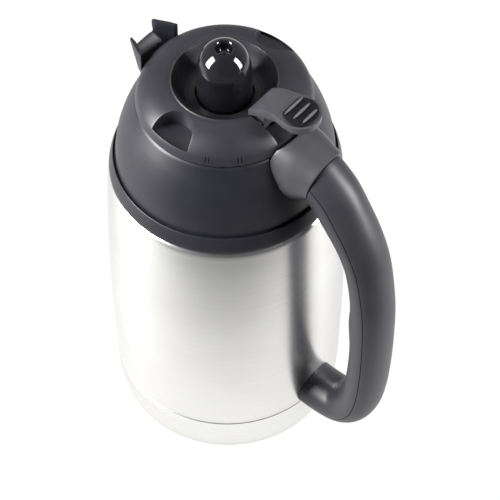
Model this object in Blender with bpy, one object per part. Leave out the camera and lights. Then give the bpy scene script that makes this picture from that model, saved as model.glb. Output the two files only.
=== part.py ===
"""Thermal carafe with a lever lid, in metres, +Z up.

The origin is the centre of the round foot pad, on the surface that it stands on. The handle is toward +X and the
spout toward -X. A steel vacuum flask carries a black shoulder with the spout. A stopper hangs under the lid and goes
down the neck. The thumb lever over the handle lifts the knob, and with it the valve at the bottom of the stopper.
"""
import math

import bmesh
import bpy
from mathutils import Vector

# Clearances, walls and rounding
CLEARANCE = 0.0003
STEEL_WALL = 0.0008
PLASTIC_WALL = 0.0022
OVERRUN = 0.004
MERGE_DISTANCE = 0.000001
TURN_STEPS = 32
SMALL_TURN_STEPS = 16
KNOB_TURN_STEPS = 24
FILLET_STEPS = 3

# Steel vessel, from the foot up
FOOT_INSET = 0.0104
PAD_THICKNESS = 0.0018
PAD_CHAMFER = 0.0005
FOOT_RIM_HEIGHT = 0.0006
FOOT_RIM_WIDTH = 0.0022
FOOT_FILLET = 0.0066
SEAM_RADIUS = 0.0677
SEAM_HEIGHT = 0.0320
SEAM_GROOVE = 0.0005
BELLY_SWELL = 0.0007
WAIST_INSET = 0.0029
STEEL_SIDE_HEIGHT = 0.1642
JOGGLE_DEPTH = 0.0046
JOGGLE_HEIGHT = 0.0008
STEEL_SEAT_HEIGHT = 0.0060
NECK_RADIUS = 0.0365
NECK_DROP = 0.0147
NECK_LENGTH = 0.0020
VACUUM_GAP = 0.0052
FLASK_FLOOR_HEIGHT = 0.0120
FLASK_FILLET = 0.0120
FLASK_NECK_LENGTH = 0.0060
SEAL_HOLE_RADIUS = 0.0030
SEAL_HEAD_RADIUS = 0.0050
SEAL_HEAD_THICKNESS = 0.0012
GETTER_RADIUS = 0.0080
GETTER_THICKNESS = 0.0030
GETTER_OFFSET = 0.0250

# Collar band, shoulder and throat
COLLAR_HEIGHT = 0.0107
COLLAR_LEDGE = 0.0031
COLLAR_LEDGE_THICKNESS = 0.0020
COLLAR_EDGE = 0.0006
COLLAR_STEP = 0.0008
SHOULDER_INSET = 0.0044
SHOULDER_HEIGHT = 0.0424
MOUTH_LEDGE = 0.0078
GASKET_THICKNESS = 0.0014
GASKET_OVERHANG = 0.0015
THROAT_WALL = 0.0020
THROAT_DEPTH = 0.0160
THROAT_FLANGE_WIDTH = 0.0075
THROAT_FLANGE_THICKNESS = 0.0020

# Spout, an open trough toward -X
SPOUT_ROOT_REACH = 0.0380
SPOUT_MID_REACH = 0.0500
SPOUT_TIP_REACH = 0.0585
SPOUT_ROOT_HALF_WIDTH = 0.0182
SPOUT_MID_HALF_WIDTH = 0.0134
SPOUT_TIP_HALF_WIDTH = 0.0093
SPOUT_ROOT_FLOOR_DROP = 0.0075
SPOUT_MID_FLOOR_DROP = 0.0030
SPOUT_TIP_FLOOR_RISE = 0.0068
SPOUT_WALL_RISE = 0.0133
SPOUT_CORNER = 0.0040
SPOUT_FLOOR_SHARE = 0.6

# Lid cap
LID_OVERHANG = 0.0164
LID_SKIRT = 0.0016
LID_HEIGHT = 0.0155
LID_BROW = 0.0192
DISH_DEPTH = 0.0105
DISH_FLOOR_RADIUS = 0.0190
RECESS_HALF_WIDTH = 0.0112
RECESS_REACH = 0.0145
RECESS_LIP = 0.0016
CHANNEL_WIDTH = 0.0210
CHANNEL_INNER_REACH = 0.0275
CHANNEL_FLOOR_HEIGHT = 0.0060
NOSE_SLOT_WIDTH = 0.0070
NOSE_SLOT_REACH = 0.0345
BOSS_RADIUS = 0.0034
BOSS_INSET = 0.0119
BOSS_DEPTH = 0.0060
LID_SCREW_COUNT = 3
LID_SCREW_START_ANGLE = math.radians(60)

# Screws
SCREW_RADIUS = 0.0015
SCREW_HEAD_RADIUS = 0.0029
SCREW_HEAD_THICKNESS = 0.0014
SCREW_HOLE_CLEARANCE = 0.0003
LID_SCREW_LENGTH = 0.0075

# Stopper under the lid
STOPPER_FIT = 0.0011
STOPPER_WALL = 0.0024
STOPPER_DEPTH = 0.0370
STOPPER_FLOOR_THICKNESS = 0.0024
STOPPER_FLANGE_INSET = 0.0026
STOPPER_FLANGE_THICKNESS = 0.0020
STOPPER_LIP_INSET = 0.0006
STOPPER_LIP_THICKNESS = 0.0016
SEAL_GROOVE_DEPTH = 0.0026
SEAL_GROOVE_HEIGHT = 0.0038
STOPPER_GASKET_REACH = 0.0008
STOPPER_THICKENING = 0.0050
VALVE_PORT_RADIUS = 0.0090
WINDOW_HALF_WIDTH = 0.0110
WINDOW_HEIGHT = 0.0070
LINER_THICKNESS = 0.0015
LINER_LEDGE = 0.0010

# Knob, stem and valve
KNOB_RADIUS = 0.0150
KNOB_HEIGHT = 0.0380
KNOB_HOLE_CLEARANCE = 0.0007
KNOB_WALL = 0.0025
KNOB_DIMPLE_RADIUS = 0.0044
KNOB_DIMPLE_DEPTH = 0.0050
KNOB_BOSS_WALL = 0.0020
KNOB_BOSS_LENGTH = 0.0140
STEM_RADIUS = 0.0025
STEM_GUIDE_CLEARANCE = 0.0004
STEM_HEAD_RADIUS = 0.0050
STEM_HEAD_THICKNESS = 0.0013
VALVE_RADIUS = 0.0120
VALVE_THICKNESS = 0.0025
VALVE_SEAL_WIDTH = 0.0026
VALVE_SEAL_THICKNESS = 0.0015
SPRING_COIL_RADIUS = 0.0052
SPRING_WIRE_RADIUS = 0.0005
SPRING_TURNS = 6
SPRING_POINTS_PER_TURN = 10

# Thumb lever
PIVOT_REACH = 0.0310
PIVOT_HEIGHT = 0.0115
PIVOT_PIN_RADIUS = 0.0015
LEVER_SIDE_CLEARANCE = 0.0010
LEVER_RISE = 0.0160
LEVER_THICKNESS = 0.0031
PAD_DEPTH = 0.0042
PAD_REACH = 0.0515
PAD_HALF_LENGTH = 0.0108
PAD_HALF_WIDTH = 0.0112
NOSE_THICKNESS = 0.0018
NOSE_TIP_REACH = 0.0128
NOSE_SIDE_CLEARANCE = 0.0005
THUMB_PAD_MARGIN = 0.0014
THUMB_PAD_THICKNESS = 0.0011
RIB_COUNT = 3
RIB_SPACING = 0.0058
RIB_WIDTH = 0.0017
RIB_HEIGHT = 0.0008
RIB_HALF_LENGTH = 0.0064

# Handle
HANDLE_WIDTH = 0.0280
HANDLE_WALL = 0.0024
HANDLE_ROOT_THICKNESS = 0.0340
HANDLE_GRIP_THICKNESS = 0.0225
HANDLE_FOOT_THICKNESS = 0.0265
HANDLE_SEAM_STANDOFF = 0.0076
HANDLE_SEAM_DROP = 0.0142
HANDLE_SEAM_LEAN = 0.35
HANDLE_BOW = 0.0386
HANDLE_FOOT_STANDOFF = 0.0021
HANDLE_FOOT_RISE = 0.0078
BRACKET_FLANGE_HALF_WIDTH = 0.0186
BRACKET_FLANGE_RISE = 0.0015
BRACKET_SEAT_RISE = 0.0085
BRACKET_TONGUE_LENGTH = 0.0080
BRACKET_TONGUE_HEIGHT = 0.0100
BRACKET_TONGUE_WIDTH = 0.0160
BRACKET_SCREW_DROP = 0.0060
BRACKET_SCREW_SPACING = 0.0140
BRACKET_SCREW_GRIP = 0.0120
BRACKET_SCREW_HEAD_DEPTH = 0.0020
FOOT_PLATE_HEIGHT = 0.0100
FOOT_PLATE_THICKNESS = 0.0020
FOOT_PLATE_HALF_WIDTH = 0.0085
FOOT_LUG_LENGTH = 0.0130
FOOT_LUG_HALF_WIDTH = 0.0060
FOOT_LUG_THICKNESS = 0.0030
FOOT_SCREW_REACH = 0.0076
FOOT_SCREW_TAIL = 0.0015

# Outlines as shares of the sizes that they follow
# Steel side: share of its height, and share of the way from waist to belly
STEEL_SIDE_SHARES = ((0.23, 1.0), (0.54, 0.93), (0.8, 0.55), (1.0, 0.0))
# Steel shoulder and flask shoulder: share of the way in to the neck, share of the way up
STEEL_SHOULDER_SHARES = ((0.0, 0.0), (0.23, 0.42), (0.57, 0.76), (0.87, 0.93), (1.0, 1.0))
FLASK_SHOULDER_SHARES = ((0.0, 0.0), (0.13, 0.36), (0.4, 0.68), (0.85, 0.93), (1.0, 1.0))
FLASK_SHOULDER_START_SHARE = 0.8
# Shoulder dome and lid dome: share of the way in from the edge, share of the way up
SHOULDER_SHARES = ((0.0, 0.0), (0.05, 0.15), (0.15, 0.33), (0.35, 0.55), (0.61, 0.76), (0.85, 0.91), (1.0, 1.0))
LID_DOME_SHARES = ((0.0, 0.0), (0.08, 0.36), (0.29, 0.68), (0.56, 0.89), (0.84, 0.99), (1.0, 1.0))
DISH_SHARES = ((0.08, 0.04), (0.36, 0.54), (0.7, 0.88), (1.0, 1.0))
# Knob outline: share of its radius, share of its height
KNOB_SHARES = ((0.98, 0.0), (1.0, 0.08), (1.0, 0.25), (0.99, 0.42), (0.97, 0.56), (0.93, 0.7), (0.85, 0.81),
               (0.72, 0.9), (0.53, 0.965), (0.36, 0.995))
KNOB_HOLLOW_SHARES = ((0.94, 0.56), (0.7, 0.78))
# Lever outline above the pivot: share of the way to the tip of the pad, share of the rise
LEVER_TOP_SHARES = ((-0.22, 0.32), (-0.1, 0.56), (0.1, 0.8), (0.3, 0.94), (0.6, 1.0), (0.95, 0.97))
LEVER_UNDER_SHARES = ((0.95, 0.0), (0.66, 0.02), (0.45, -0.14), (0.2, -0.42))
LEVER_BOSS_SHARES = ((0.2, -0.2), (0.2, -1.0), (-0.6, -1.15), (-1.1, -0.55))
# Handle centre line: share of the way out from its root, share of the height from foot to seam, thickness blend
# from root (1) over grip (0) to foot (-1)
HANDLE_PATH_SHARES = ((0.0, 1.0, 1.0), (0.194, 0.97, 0.68), (0.414, 0.913, 0.48), (0.63, 0.849, 0.24),
                      (0.795, 0.779, 0.06), (0.894, 0.7, 0.0), (0.982, 0.565, 0.0), (1.0, 0.421, 0.0),
                      (0.985, 0.288, 0.0), (0.94, 0.18, -0.1), (0.85, 0.098, -0.3), (0.7, 0.041, -0.6),
                      (0.5, 0.01, -0.85), (0.25, 0.0, -1.0), (-0.16, 0.0, -1.0))
HANDLE_REACH_PLACE = 7
HANDLE_SECTION_POWER = 2.7
HANDLE_SECTION_STEPS = 8
HANDLE_SPLIT_SHARE = 0.25
# Bracket flange on the dome, from its lowest point up one side: share of its half width, share of its height
BRACKET_FLANGE_SHARES = ((0.0, 0.0), (0.4, 0.025), (0.66, 0.13), (0.84, 0.235), (0.97, 0.335), (1.0, 0.5),
                         (0.9, 0.66), (0.72, 0.81), (0.55, 0.92), (0.34, 0.985), (0.0, 1.0))
# Bracket between flange and seam: share of the way out, share of the blend from the flange's outline to the grip's
BRACKET_RUN_SHARES = ((0.0, 0.0), (0.6, 0.3), (0.84, 0.72), (1.0, 1.0))
CUP_TAPER_SHARE = 0.5

# Heights and radii that follow from the sizes above
PAD_RADIUS = SEAM_RADIUS - FOOT_INSET
BELLY_RADIUS = SEAM_RADIUS + BELLY_SWELL
WAIST_RADIUS = SEAM_RADIUS - WAIST_INSET
SHOULDER_RADIUS = WAIST_RADIUS - SHOULDER_INSET
FLASK_NECK_RADIUS = NECK_RADIUS - STEEL_WALL - CLEARANCE
THROAT_RADIUS = FLASK_NECK_RADIUS - STEEL_WALL - CLEARANCE
THROAT_FLANGE_RADIUS = NECK_RADIUS + THROAT_FLANGE_WIDTH
STOPPER_RADIUS = THROAT_RADIUS - THROAT_WALL - STOPPER_FIT
LID_RADIUS = STOPPER_RADIUS + LID_OVERHANG
MOUTH_RADIUS = LID_RADIUS - MOUTH_LEDGE
RIM_RADIUS = LID_RADIUS - LID_BROW
BOSS_CIRCLE_RADIUS = LID_RADIUS - BOSS_INSET
STOPPER_FLANGE_RADIUS = LID_RADIUS - STOPPER_FLANGE_INSET
SIDE_TOP_HEIGHT = SEAM_HEIGHT + STEEL_SIDE_HEIGHT
SEAT_RADIUS = WAIST_RADIUS - JOGGLE_DEPTH
SEAT_BASE_HEIGHT = SIDE_TOP_HEIGHT + JOGGLE_HEIGHT
SEAT_TOP_HEIGHT = SEAT_BASE_HEIGHT + STEEL_SEAT_HEIGHT
COLLAR_BASE_HEIGHT = SEAT_BASE_HEIGHT + CLEARANCE
COLLAR_TOP_HEIGHT = COLLAR_BASE_HEIGHT + COLLAR_HEIGHT
SHOULDER_BASE_HEIGHT = COLLAR_TOP_HEIGHT + CLEARANCE
SHOULDER_TOP_HEIGHT = SHOULDER_BASE_HEIGHT + SHOULDER_HEIGHT
NECK_TOP_HEIGHT = SHOULDER_TOP_HEIGHT - NECK_DROP
SPOUT_ROOT_FLOOR_HEIGHT = SHOULDER_TOP_HEIGHT - SPOUT_ROOT_FLOOR_DROP
SPOUT_MID_FLOOR_HEIGHT = SHOULDER_TOP_HEIGHT - SPOUT_MID_FLOOR_DROP
SPOUT_TIP_FLOOR_HEIGHT = SHOULDER_TOP_HEIGHT + SPOUT_TIP_FLOOR_RISE
SPOUT_WALL_HEIGHT = SHOULDER_TOP_HEIGHT + SPOUT_WALL_RISE
HANDLE_SEAM_REACH = SHOULDER_RADIUS + HANDLE_SEAM_STANDOFF
HANDLE_SEAM_HEIGHT = SHOULDER_TOP_HEIGHT - HANDLE_SEAM_DROP
HANDLE_REACH = HANDLE_SEAM_REACH + HANDLE_BOW
HANDLE_FOOT_HEIGHT = SEAM_HEIGHT + HANDLE_FOOT_RISE
GASKET_BASE_HEIGHT = NECK_TOP_HEIGHT + CLEARANCE
FLANGE_BASE_HEIGHT = GASKET_BASE_HEIGHT + GASKET_THICKNESS + CLEARANCE
FLANGE_TOP_HEIGHT = FLANGE_BASE_HEIGHT + THROAT_FLANGE_THICKNESS
LID_BASE_HEIGHT = SHOULDER_TOP_HEIGHT + CLEARANCE
STOPPER_FLOOR_HEIGHT = LID_BASE_HEIGHT - STOPPER_DEPTH
RIM_HEIGHT = LID_BASE_HEIGHT + LID_HEIGHT
DISH_FLOOR_HEIGHT = RIM_HEIGHT - DISH_DEPTH
KNOB_HOLE_RADIUS = KNOB_RADIUS + KNOB_HOLE_CLEARANCE
STOPPER_FLANGE_HEIGHT = LID_BASE_HEIGHT + CLEARANCE
STOPPER_TOP_HEIGHT = STOPPER_FLANGE_HEIGHT + STOPPER_FLANGE_THICKNESS
KNOB_BASE_HEIGHT = DISH_FLOOR_HEIGHT - PLASTIC_WALL - STEEL_WALL
NOSE_TOP_HEIGHT = KNOB_BASE_HEIGHT - CLEARANCE
LINER_TOP_HEIGHT = NOSE_TOP_HEIGHT - NOSE_THICKNESS - CLEARANCE
LINER_BASE_HEIGHT = LINER_TOP_HEIGHT - LINER_THICKNESS
LEDGE_HEIGHT = LINER_BASE_HEIGHT - CLEARANCE
STOPPER_BORE_RADIUS = STOPPER_RADIUS - STOPPER_WALL
VALVE_SEAL_BASE_HEIGHT = STOPPER_FLOOR_HEIGHT + STOPPER_FLOOR_THICKNESS + CLEARANCE
VALVE_BASE_HEIGHT = VALVE_SEAL_BASE_HEIGHT + VALVE_SEAL_THICKNESS + CLEARANCE
VALVE_TOP_HEIGHT = VALVE_BASE_HEIGHT + VALVE_THICKNESS
KNOB_TOP_HEIGHT = KNOB_BASE_HEIGHT + KNOB_HEIGHT
KNOB_DIMPLE_FLOOR_HEIGHT = KNOB_TOP_HEIGHT - KNOB_DIMPLE_DEPTH
KNOB_ROOF_HEIGHT = KNOB_DIMPLE_FLOOR_HEIGHT - KNOB_WALL
KNOB_BORE_RADIUS = STEM_RADIUS + CLEARANCE
KNOB_BOSS_RADIUS = KNOB_BORE_RADIUS + KNOB_BOSS_WALL
STEM_TOP_HEIGHT = KNOB_ROOF_HEIGHT - CLEARANCE
PIVOT_LEVEL = LID_BASE_HEIGHT + PIVOT_HEIGHT
HOLE_RADIUS = SCREW_RADIUS + SCREW_HOLE_CLEARANCE


def blend(start, end, share):
    return start + (end - start) * share


def shaped(start, end, shares):
    """Points that go from one (radius, height) to another along an outline given in shares."""
    return [(blend(start[0], end[0], across), blend(start[1], end[1], up)) for across, up in shares]


def arc(centre, radius, first_angle, last_angle, steps):
    """Points on an arc in the radius and height plane."""
    angles = [blend(first_angle, last_angle, step / steps) for step in range(steps + 1)]
    return [(centre[0] + radius * math.cos(angle), centre[1] + radius * math.sin(angle)) for angle in angles]


def crossing(point, run, other, other_run):
    """Where the line through a point along a run meets the line through another point."""
    turn = run.x * other_run.y - run.y * other_run.x
    between = other - point
    return point + run * ((between.x * other_run.y - between.y * other_run.x) / turn)


def inner_side(profile, wall):
    """The profile moved by one wall to its left side, with mitred corners and without folded runs."""
    points = [Vector(point) for point in profile]
    runs = [(after - before).normalized() for before, after in zip(points, points[1:])]
    lefts = [Vector((-run.y, run.x)) for run in runs]
    moved = []
    for index, point in enumerate(points):
        before = lefts[max(index - 1, 0)]
        after = lefts[min(index, len(lefts) - 1)]
        mitre = (before + after) / (1 + before.dot(after))
        moved.append(point + mitre * wall)
    index = 1
    while index < len(runs) - 1:
        if (moved[index + 1] - moved[index]).dot(runs[index]) > 0:
            index += 1
            continue
        moved[index:index + 2] = [crossing(moved[index - 1], runs[index - 1], moved[index + 2], runs[index + 1])]
        del runs[index]
        index = max(index - 1, 1)
    return [tuple(point) for point in moved]


def walled(profile, wall):
    """A closed outline of one wall around an open profile."""
    return profile + inner_side(profile, wall)[::-1]


def material(name, colour, roughness, metallic=0.0):
    made = bpy.data.materials.get(name) or bpy.data.materials.new(name)
    made.use_nodes = True
    shader = made.node_tree.nodes["Principled BSDF"]
    shader.inputs["Base Color"].default_value = (*colour, 1)
    shader.inputs["Roughness"].default_value = roughness
    shader.inputs["Metallic"].default_value = metallic
    made.diffuse_color = (*colour, 1)
    return made


def steel(name):
    return material(name, (0.72, 0.71, 0.70), 0.28, 1.0)


def black_plastic(name):
    return material(name, (0.045, 0.045, 0.05), 0.45)


def glossy_plastic(name):
    return material(name, (0.012, 0.012, 0.014), 0.08)


def grey_plastic(name):
    return material(name, (0.12, 0.12, 0.13), 0.4)


def rubber(name):
    return material(name, (0.03, 0.03, 0.032), 0.8)


def silicone(name):
    return material(name, (0.62, 0.62, 0.60), 0.6)


def add_object(name, bm, finish):
    """Make an object of a finished bmesh, shaded smooth on its round faces."""
    bmesh.ops.recalc_face_normals(bm, faces=bm.faces)
    mesh = bpy.data.meshes.new(name)
    bm.to_mesh(mesh)
    bm.free()
    mesh.shade_smooth()
    mesh.set_sharp_from_angle(angle=math.radians(35))
    made = bpy.data.objects.new(name, mesh)
    bpy.context.scene.collection.objects.link(made)
    if finish:
        mesh.materials.append(finish(name))
    return made


def turned(name, profile, finish=None, closed=True, steps=TURN_STEPS):
    """A solid turned round +Z from (radius, height) points, closed unless both ends lie on the axis."""
    bm = bmesh.new()
    verts = [bm.verts.new((radius, 0, height)) for radius, height in profile]
    edges = [bm.edges.new(pair) for pair in zip(verts, verts[1:])]
    if closed:
        edges.append(bm.edges.new((verts[-1], verts[0])))
    bmesh.ops.spin(bm, geom=verts + edges, cent=(0, 0, 0), axis=(0, 0, 1), angle=math.tau, steps=steps,
                   use_duplicate=False)
    bmesh.ops.remove_doubles(bm, verts=bm.verts, dist=MERGE_DISTANCE)
    return add_object(name, bm, finish)


def disc(name, radius, base, top, finish=None, steps=SMALL_TURN_STEPS):
    return turned(name, [(0, base), (radius, base), (radius, top), (0, top)], finish, closed=False, steps=steps)


def ring(name, inner, outer, base, top, finish=None, steps=TURN_STEPS):
    return turned(name, [(inner, base), (outer, base), (outer, top), (inner, top)], finish, steps=steps)


def lofted(name, sections, finish=None):
    """A solid through closed loops of points with equal counts, capped at both ends."""
    bm = bmesh.new()
    loops = [[bm.verts.new(point) for point in section] for section in sections]
    count = len(loops[0])
    for near, far in zip(loops, loops[1:]):
        for index in range(count):
            following = (index + 1) % count
            bm.faces.new((near[index], near[following], far[following], far[index]))
    bm.faces.new(loops[0][::-1])
    bm.faces.new(loops[-1])
    return add_object(name, bm, finish)


def plate(name, outline, half_width, finish=None):
    """An outline of (x, z) points made a solid across Y."""
    return lofted(name, [[(x, side * half_width, z) for x, z in outline] for side in (-1, 1)], finish)


def block(name, low, high, finish=None):
    corners = [(low[0], low[1]), (high[0], low[1]), (high[0], high[1]), (low[0], high[1])]
    return lofted(name, [[(x, y, z) for x, y in corners] for z in (low[2], high[2])], finish)


def oval(name, centre, half_length, half_width, base, top, finish=None, steps=SMALL_TURN_STEPS):
    """An upright cylinder with an oval plan."""
    angles = [math.tau * step / steps for step in range(steps)]
    plan = [(centre[0] + half_length * math.cos(angle), centre[1] + half_width * math.sin(angle)) for angle in angles]
    return lofted(name, [[(x, y, z) for x, y in plan] for z in (base, top)], finish)


def rod(name, radius, start, end, finish=None, steps=SMALL_TURN_STEPS):
    """A round bar from one point to another."""
    run = Vector(end) - Vector(start)
    made = disc(name, radius, 0, run.length, finish, steps)
    made.location = start
    made.rotation_mode = "QUATERNION"
    made.rotation_quaternion = run.to_track_quat("Z", "Y")
    return made


def boolean(made, cutter, operation):
    """Join, cut or trim with another object, which is then only a guide."""
    step = made.modifiers.new(cutter.name, "BOOLEAN")
    step.operation = operation
    step.object = cutter
    cutter.hide_render = True
    cutter.display_type = "WIRE"


def join(made, *others):
    for other in others:
        boolean(made, other, "UNION")


def cut(made, *others):
    for other in others:
        boolean(made, other, "DIFFERENCE")


def trim(made, other):
    boolean(made, other, "INTERSECT")


def steel_side():
    """Outer side of the steel wall between the seam and the joggle under the collar band."""
    low = (WAIST_RADIUS, SEAM_HEIGHT)
    high = (BELLY_RADIUS, SIDE_TOP_HEIGHT)
    side = [(blend(low[0], high[0], out), blend(low[1], high[1], up)) for up, out in STEEL_SIDE_SHARES]
    return [(SEAM_RADIUS, SEAM_HEIGHT)] + side


def side_radius(height):
    """Outer radius of the steel side at a height."""
    side = steel_side()
    for (low_radius, low), (high_radius, high) in zip(side, side[1:]):
        if height <= high:
            return blend(low_radius, high_radius, (height - low) / (high - low))
    return side[-1][0]


def steel_outline():
    neck_base = (NECK_RADIUS, NECK_TOP_HEIGHT - NECK_LENGTH)
    shoulder_base = (SEAT_RADIUS - COLLAR_LEDGE - CLEARANCE, SEAT_TOP_HEIGHT + COLLAR_LEDGE)
    joggle = [(SEAT_RADIUS, SEAT_BASE_HEIGHT), (SEAT_RADIUS, SEAT_TOP_HEIGHT)]
    return steel_side() + joggle + shaped(shoulder_base, neck_base, STEEL_SHOULDER_SHARES) + [
        (NECK_RADIUS, NECK_TOP_HEIGHT)]


def make_vessel():
    pad_top = PAD_THICKNESS
    plate_base = pad_top + CLEARANCE
    recess_radius = PAD_RADIUS + CLEARANCE
    foot_radius = recess_radius + FOOT_RIM_WIDTH
    turned("base_pad", [(0, 0), (PAD_RADIUS - PAD_CHAMFER, 0), (PAD_RADIUS, PAD_CHAMFER), (PAD_RADIUS, pad_top),
                        (0, pad_top)], rubber, closed=False)
    fillet_centre = (foot_radius, FOOT_RIM_HEIGHT + FOOT_FILLET)
    foot = arc(fillet_centre, FOOT_FILLET, -math.pi / 2, 0, FILLET_STEPS)
    cup = [(SEAL_HOLE_RADIUS, plate_base), (recess_radius, plate_base), (recess_radius, FOOT_RIM_HEIGHT)]
    cup += foot[:-1] + [(blend(foot[-1][0], SEAM_RADIUS, CUP_TAPER_SHARE), foot[-1][1])]
    cup += [(SEAM_RADIUS, SEAM_HEIGHT - SEAM_GROOVE)]
    turned("bottom_cup", walled(cup, STEEL_WALL), steel)

    shell = steel_outline()
    turned("outer_shell", walled(shell, STEEL_WALL), steel)

    flask_radius = [(radius - STEEL_WALL - VACUUM_GAP, height) for radius, height in steel_side()]
    wall_top = SEAM_HEIGHT + STEEL_SIDE_HEIGHT * FLASK_SHOULDER_START_SHARE
    upright = [point for point in flask_radius if point[1] < wall_top]
    shoulder_base = (side_radius(wall_top) - STEEL_WALL - VACUUM_GAP, wall_top)
    neck_base = (FLASK_NECK_RADIUS, NECK_TOP_HEIGHT - FLASK_NECK_LENGTH)
    corner = (upright[0][0] - FLASK_FILLET, FLASK_FLOOR_HEIGHT + FLASK_FILLET)
    flask = [(0, FLASK_FLOOR_HEIGHT)] + arc(corner, FLASK_FILLET, -math.pi / 2, 0, FILLET_STEPS) + upright
    flask += shaped(shoulder_base, neck_base, FLASK_SHOULDER_SHARES) + [(FLASK_NECK_RADIUS, NECK_TOP_HEIGHT)]
    inner = inner_side(flask, STEEL_WALL)
    turned("inner_flask", flask + inner[:0:-1] + [(0, inner[0][1])], steel, closed=False)

    stem_base = plate_base + CLEARANCE
    head_base = plate_base + STEEL_WALL + CLEARANCE
    stem_radius = SEAL_HOLE_RADIUS - CLEARANCE
    turned("evacuation_seal", [(0, stem_base), (stem_radius, stem_base), (stem_radius, head_base),
                               (SEAL_HEAD_RADIUS, head_base), (SEAL_HEAD_RADIUS, head_base + SEAL_HEAD_THICKNESS),
                               (0, head_base + SEAL_HEAD_THICKNESS)], steel, closed=False, steps=SMALL_TURN_STEPS)
    getter_top = FLASK_FLOOR_HEIGHT - CLEARANCE
    oval("getter_capsule", (GETTER_OFFSET, 0), GETTER_RADIUS, GETTER_RADIUS, getter_top - GETTER_THICKNESS,
         getter_top, steel)


def make_collar_and_throat():
    inner = SEAT_RADIUS + CLEARANCE
    ledge = SEAT_RADIUS - COLLAR_LEDGE + CLEARANCE
    ledge_base = COLLAR_TOP_HEIGHT - COLLAR_LEDGE_THICKNESS
    top_radius = SHOULDER_RADIUS + COLLAR_STEP
    turned("collar_ring", [(inner, COLLAR_BASE_HEIGHT), (WAIST_RADIUS, COLLAR_BASE_HEIGHT),
                           (WAIST_RADIUS + COLLAR_EDGE, COLLAR_BASE_HEIGHT + COLLAR_EDGE),
                           (top_radius + COLLAR_EDGE, COLLAR_TOP_HEIGHT - COLLAR_EDGE),
                           (top_radius, COLLAR_TOP_HEIGHT), (ledge, COLLAR_TOP_HEIGHT),
                           (ledge, ledge_base), (inner, ledge_base)], black_plastic)
    ring("neck_gasket", FLASK_NECK_RADIUS - STEEL_WALL, NECK_RADIUS + GASKET_OVERHANG, GASKET_BASE_HEIGHT,
         GASKET_BASE_HEIGHT + GASKET_THICKNESS, silicone)
    throat_bore = THROAT_RADIUS - THROAT_WALL
    throat_base = FLANGE_BASE_HEIGHT - THROAT_DEPTH
    turned("pour_collar", [(throat_bore, throat_base), (THROAT_RADIUS, throat_base),
                           (THROAT_RADIUS, FLANGE_BASE_HEIGHT), (THROAT_FLANGE_RADIUS, FLANGE_BASE_HEIGHT),
                           (THROAT_FLANGE_RADIUS, FLANGE_TOP_HEIGHT), (throat_bore, FLANGE_TOP_HEIGHT)],
           black_plastic)


def trough(name, grow, drop, raised, ends):
    """The spout's trough as a solid, grown sideways, dropped at its floor and lengthened at both ends."""
    stations = ((SPOUT_ROOT_REACH - ends, SPOUT_ROOT_HALF_WIDTH, SPOUT_ROOT_FLOOR_HEIGHT),
                (SPOUT_MID_REACH, SPOUT_MID_HALF_WIDTH, SPOUT_MID_FLOOR_HEIGHT),
                (SPOUT_TIP_REACH + ends, SPOUT_TIP_HALF_WIDTH, SPOUT_TIP_FLOOR_HEIGHT))
    top = SPOUT_WALL_HEIGHT + raised
    sections = []
    for reach, half_width, floor_height in stations:
        side = half_width + grow
        floor = floor_height - drop
        flat = side * SPOUT_FLOOR_SHARE
        outline = ((-side, top), (side, top), (side, floor + SPOUT_CORNER), (flat, floor), (-flat, floor),
                   (-side, floor + SPOUT_CORNER))
        sections.append([(-reach, y, z) for y, z in outline])
    return lofted(name, sections)


def make_shoulder():
    edge = (SHOULDER_RADIUS, SHOULDER_BASE_HEIGHT)
    top = (LID_RADIUS, SHOULDER_TOP_HEIGHT)
    dome = shaped(edge, top, SHOULDER_SHARES)
    profile = dome + [(MOUTH_RADIUS, SHOULDER_TOP_HEIGHT), (MOUTH_RADIUS, FLANGE_TOP_HEIGHT + CLEARANCE)]
    inner = inner_side(profile, PLASTIC_WALL)
    inner[0] = (inner[0][0], SHOULDER_BASE_HEIGHT)
    inner[-1] = (inner[-1][0], FLANGE_TOP_HEIGHT + CLEARANCE)
    cover = turned("shoulder_cover", profile + inner[::-1], black_plastic)
    join(cover, trough("spout_body", 0, PLASTIC_WALL, 0, 0))
    cut(cover, trough("spout_channel", -PLASTIC_WALL, 0, OVERRUN, OVERRUN))
    cut(cover, disc("lid_seat_space", LID_RADIUS + CLEARANCE * 2, SHOULDER_TOP_HEIGHT + CLEARANCE / 3, RIM_HEIGHT,
                    steps=TURN_STEPS))
    cut(cover, disc("mouth_space", MOUTH_RADIUS - CLEARANCE, FLANGE_BASE_HEIGHT, RIM_HEIGHT, steps=TURN_STEPS))
    for side in (-1, 1):
        y, z = bracket_screw_place(side)
        cut(cover, rod("bracket_hole_in_shoulder", HOLE_RADIUS, (MOUTH_RADIUS, y, z), (HANDLE_SEAM_REACH, y, z)))


def lid_outline():
    """The lid's outer side from the foot of its skirt over the rim and down into the dish."""
    skirt = (LID_RADIUS, LID_BASE_HEIGHT)
    dome = shaped((LID_RADIUS, LID_BASE_HEIGHT + LID_SKIRT), (RIM_RADIUS, RIM_HEIGHT), LID_DOME_SHARES)
    dish = shaped((RIM_RADIUS, RIM_HEIGHT), (DISH_FLOOR_RADIUS, DISH_FLOOR_HEIGHT), DISH_SHARES)
    return [skirt] + dome + dish + [(KNOB_HOLE_RADIUS, DISH_FLOOR_HEIGHT)]


def lid_screw_places():
    angles = [LID_SCREW_START_ANGLE + math.tau * index / LID_SCREW_COUNT for index in range(LID_SCREW_COUNT)]
    return [(BOSS_CIRCLE_RADIUS * math.cos(angle), BOSS_CIRCLE_RADIUS * math.sin(angle)) for angle in angles]


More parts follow.
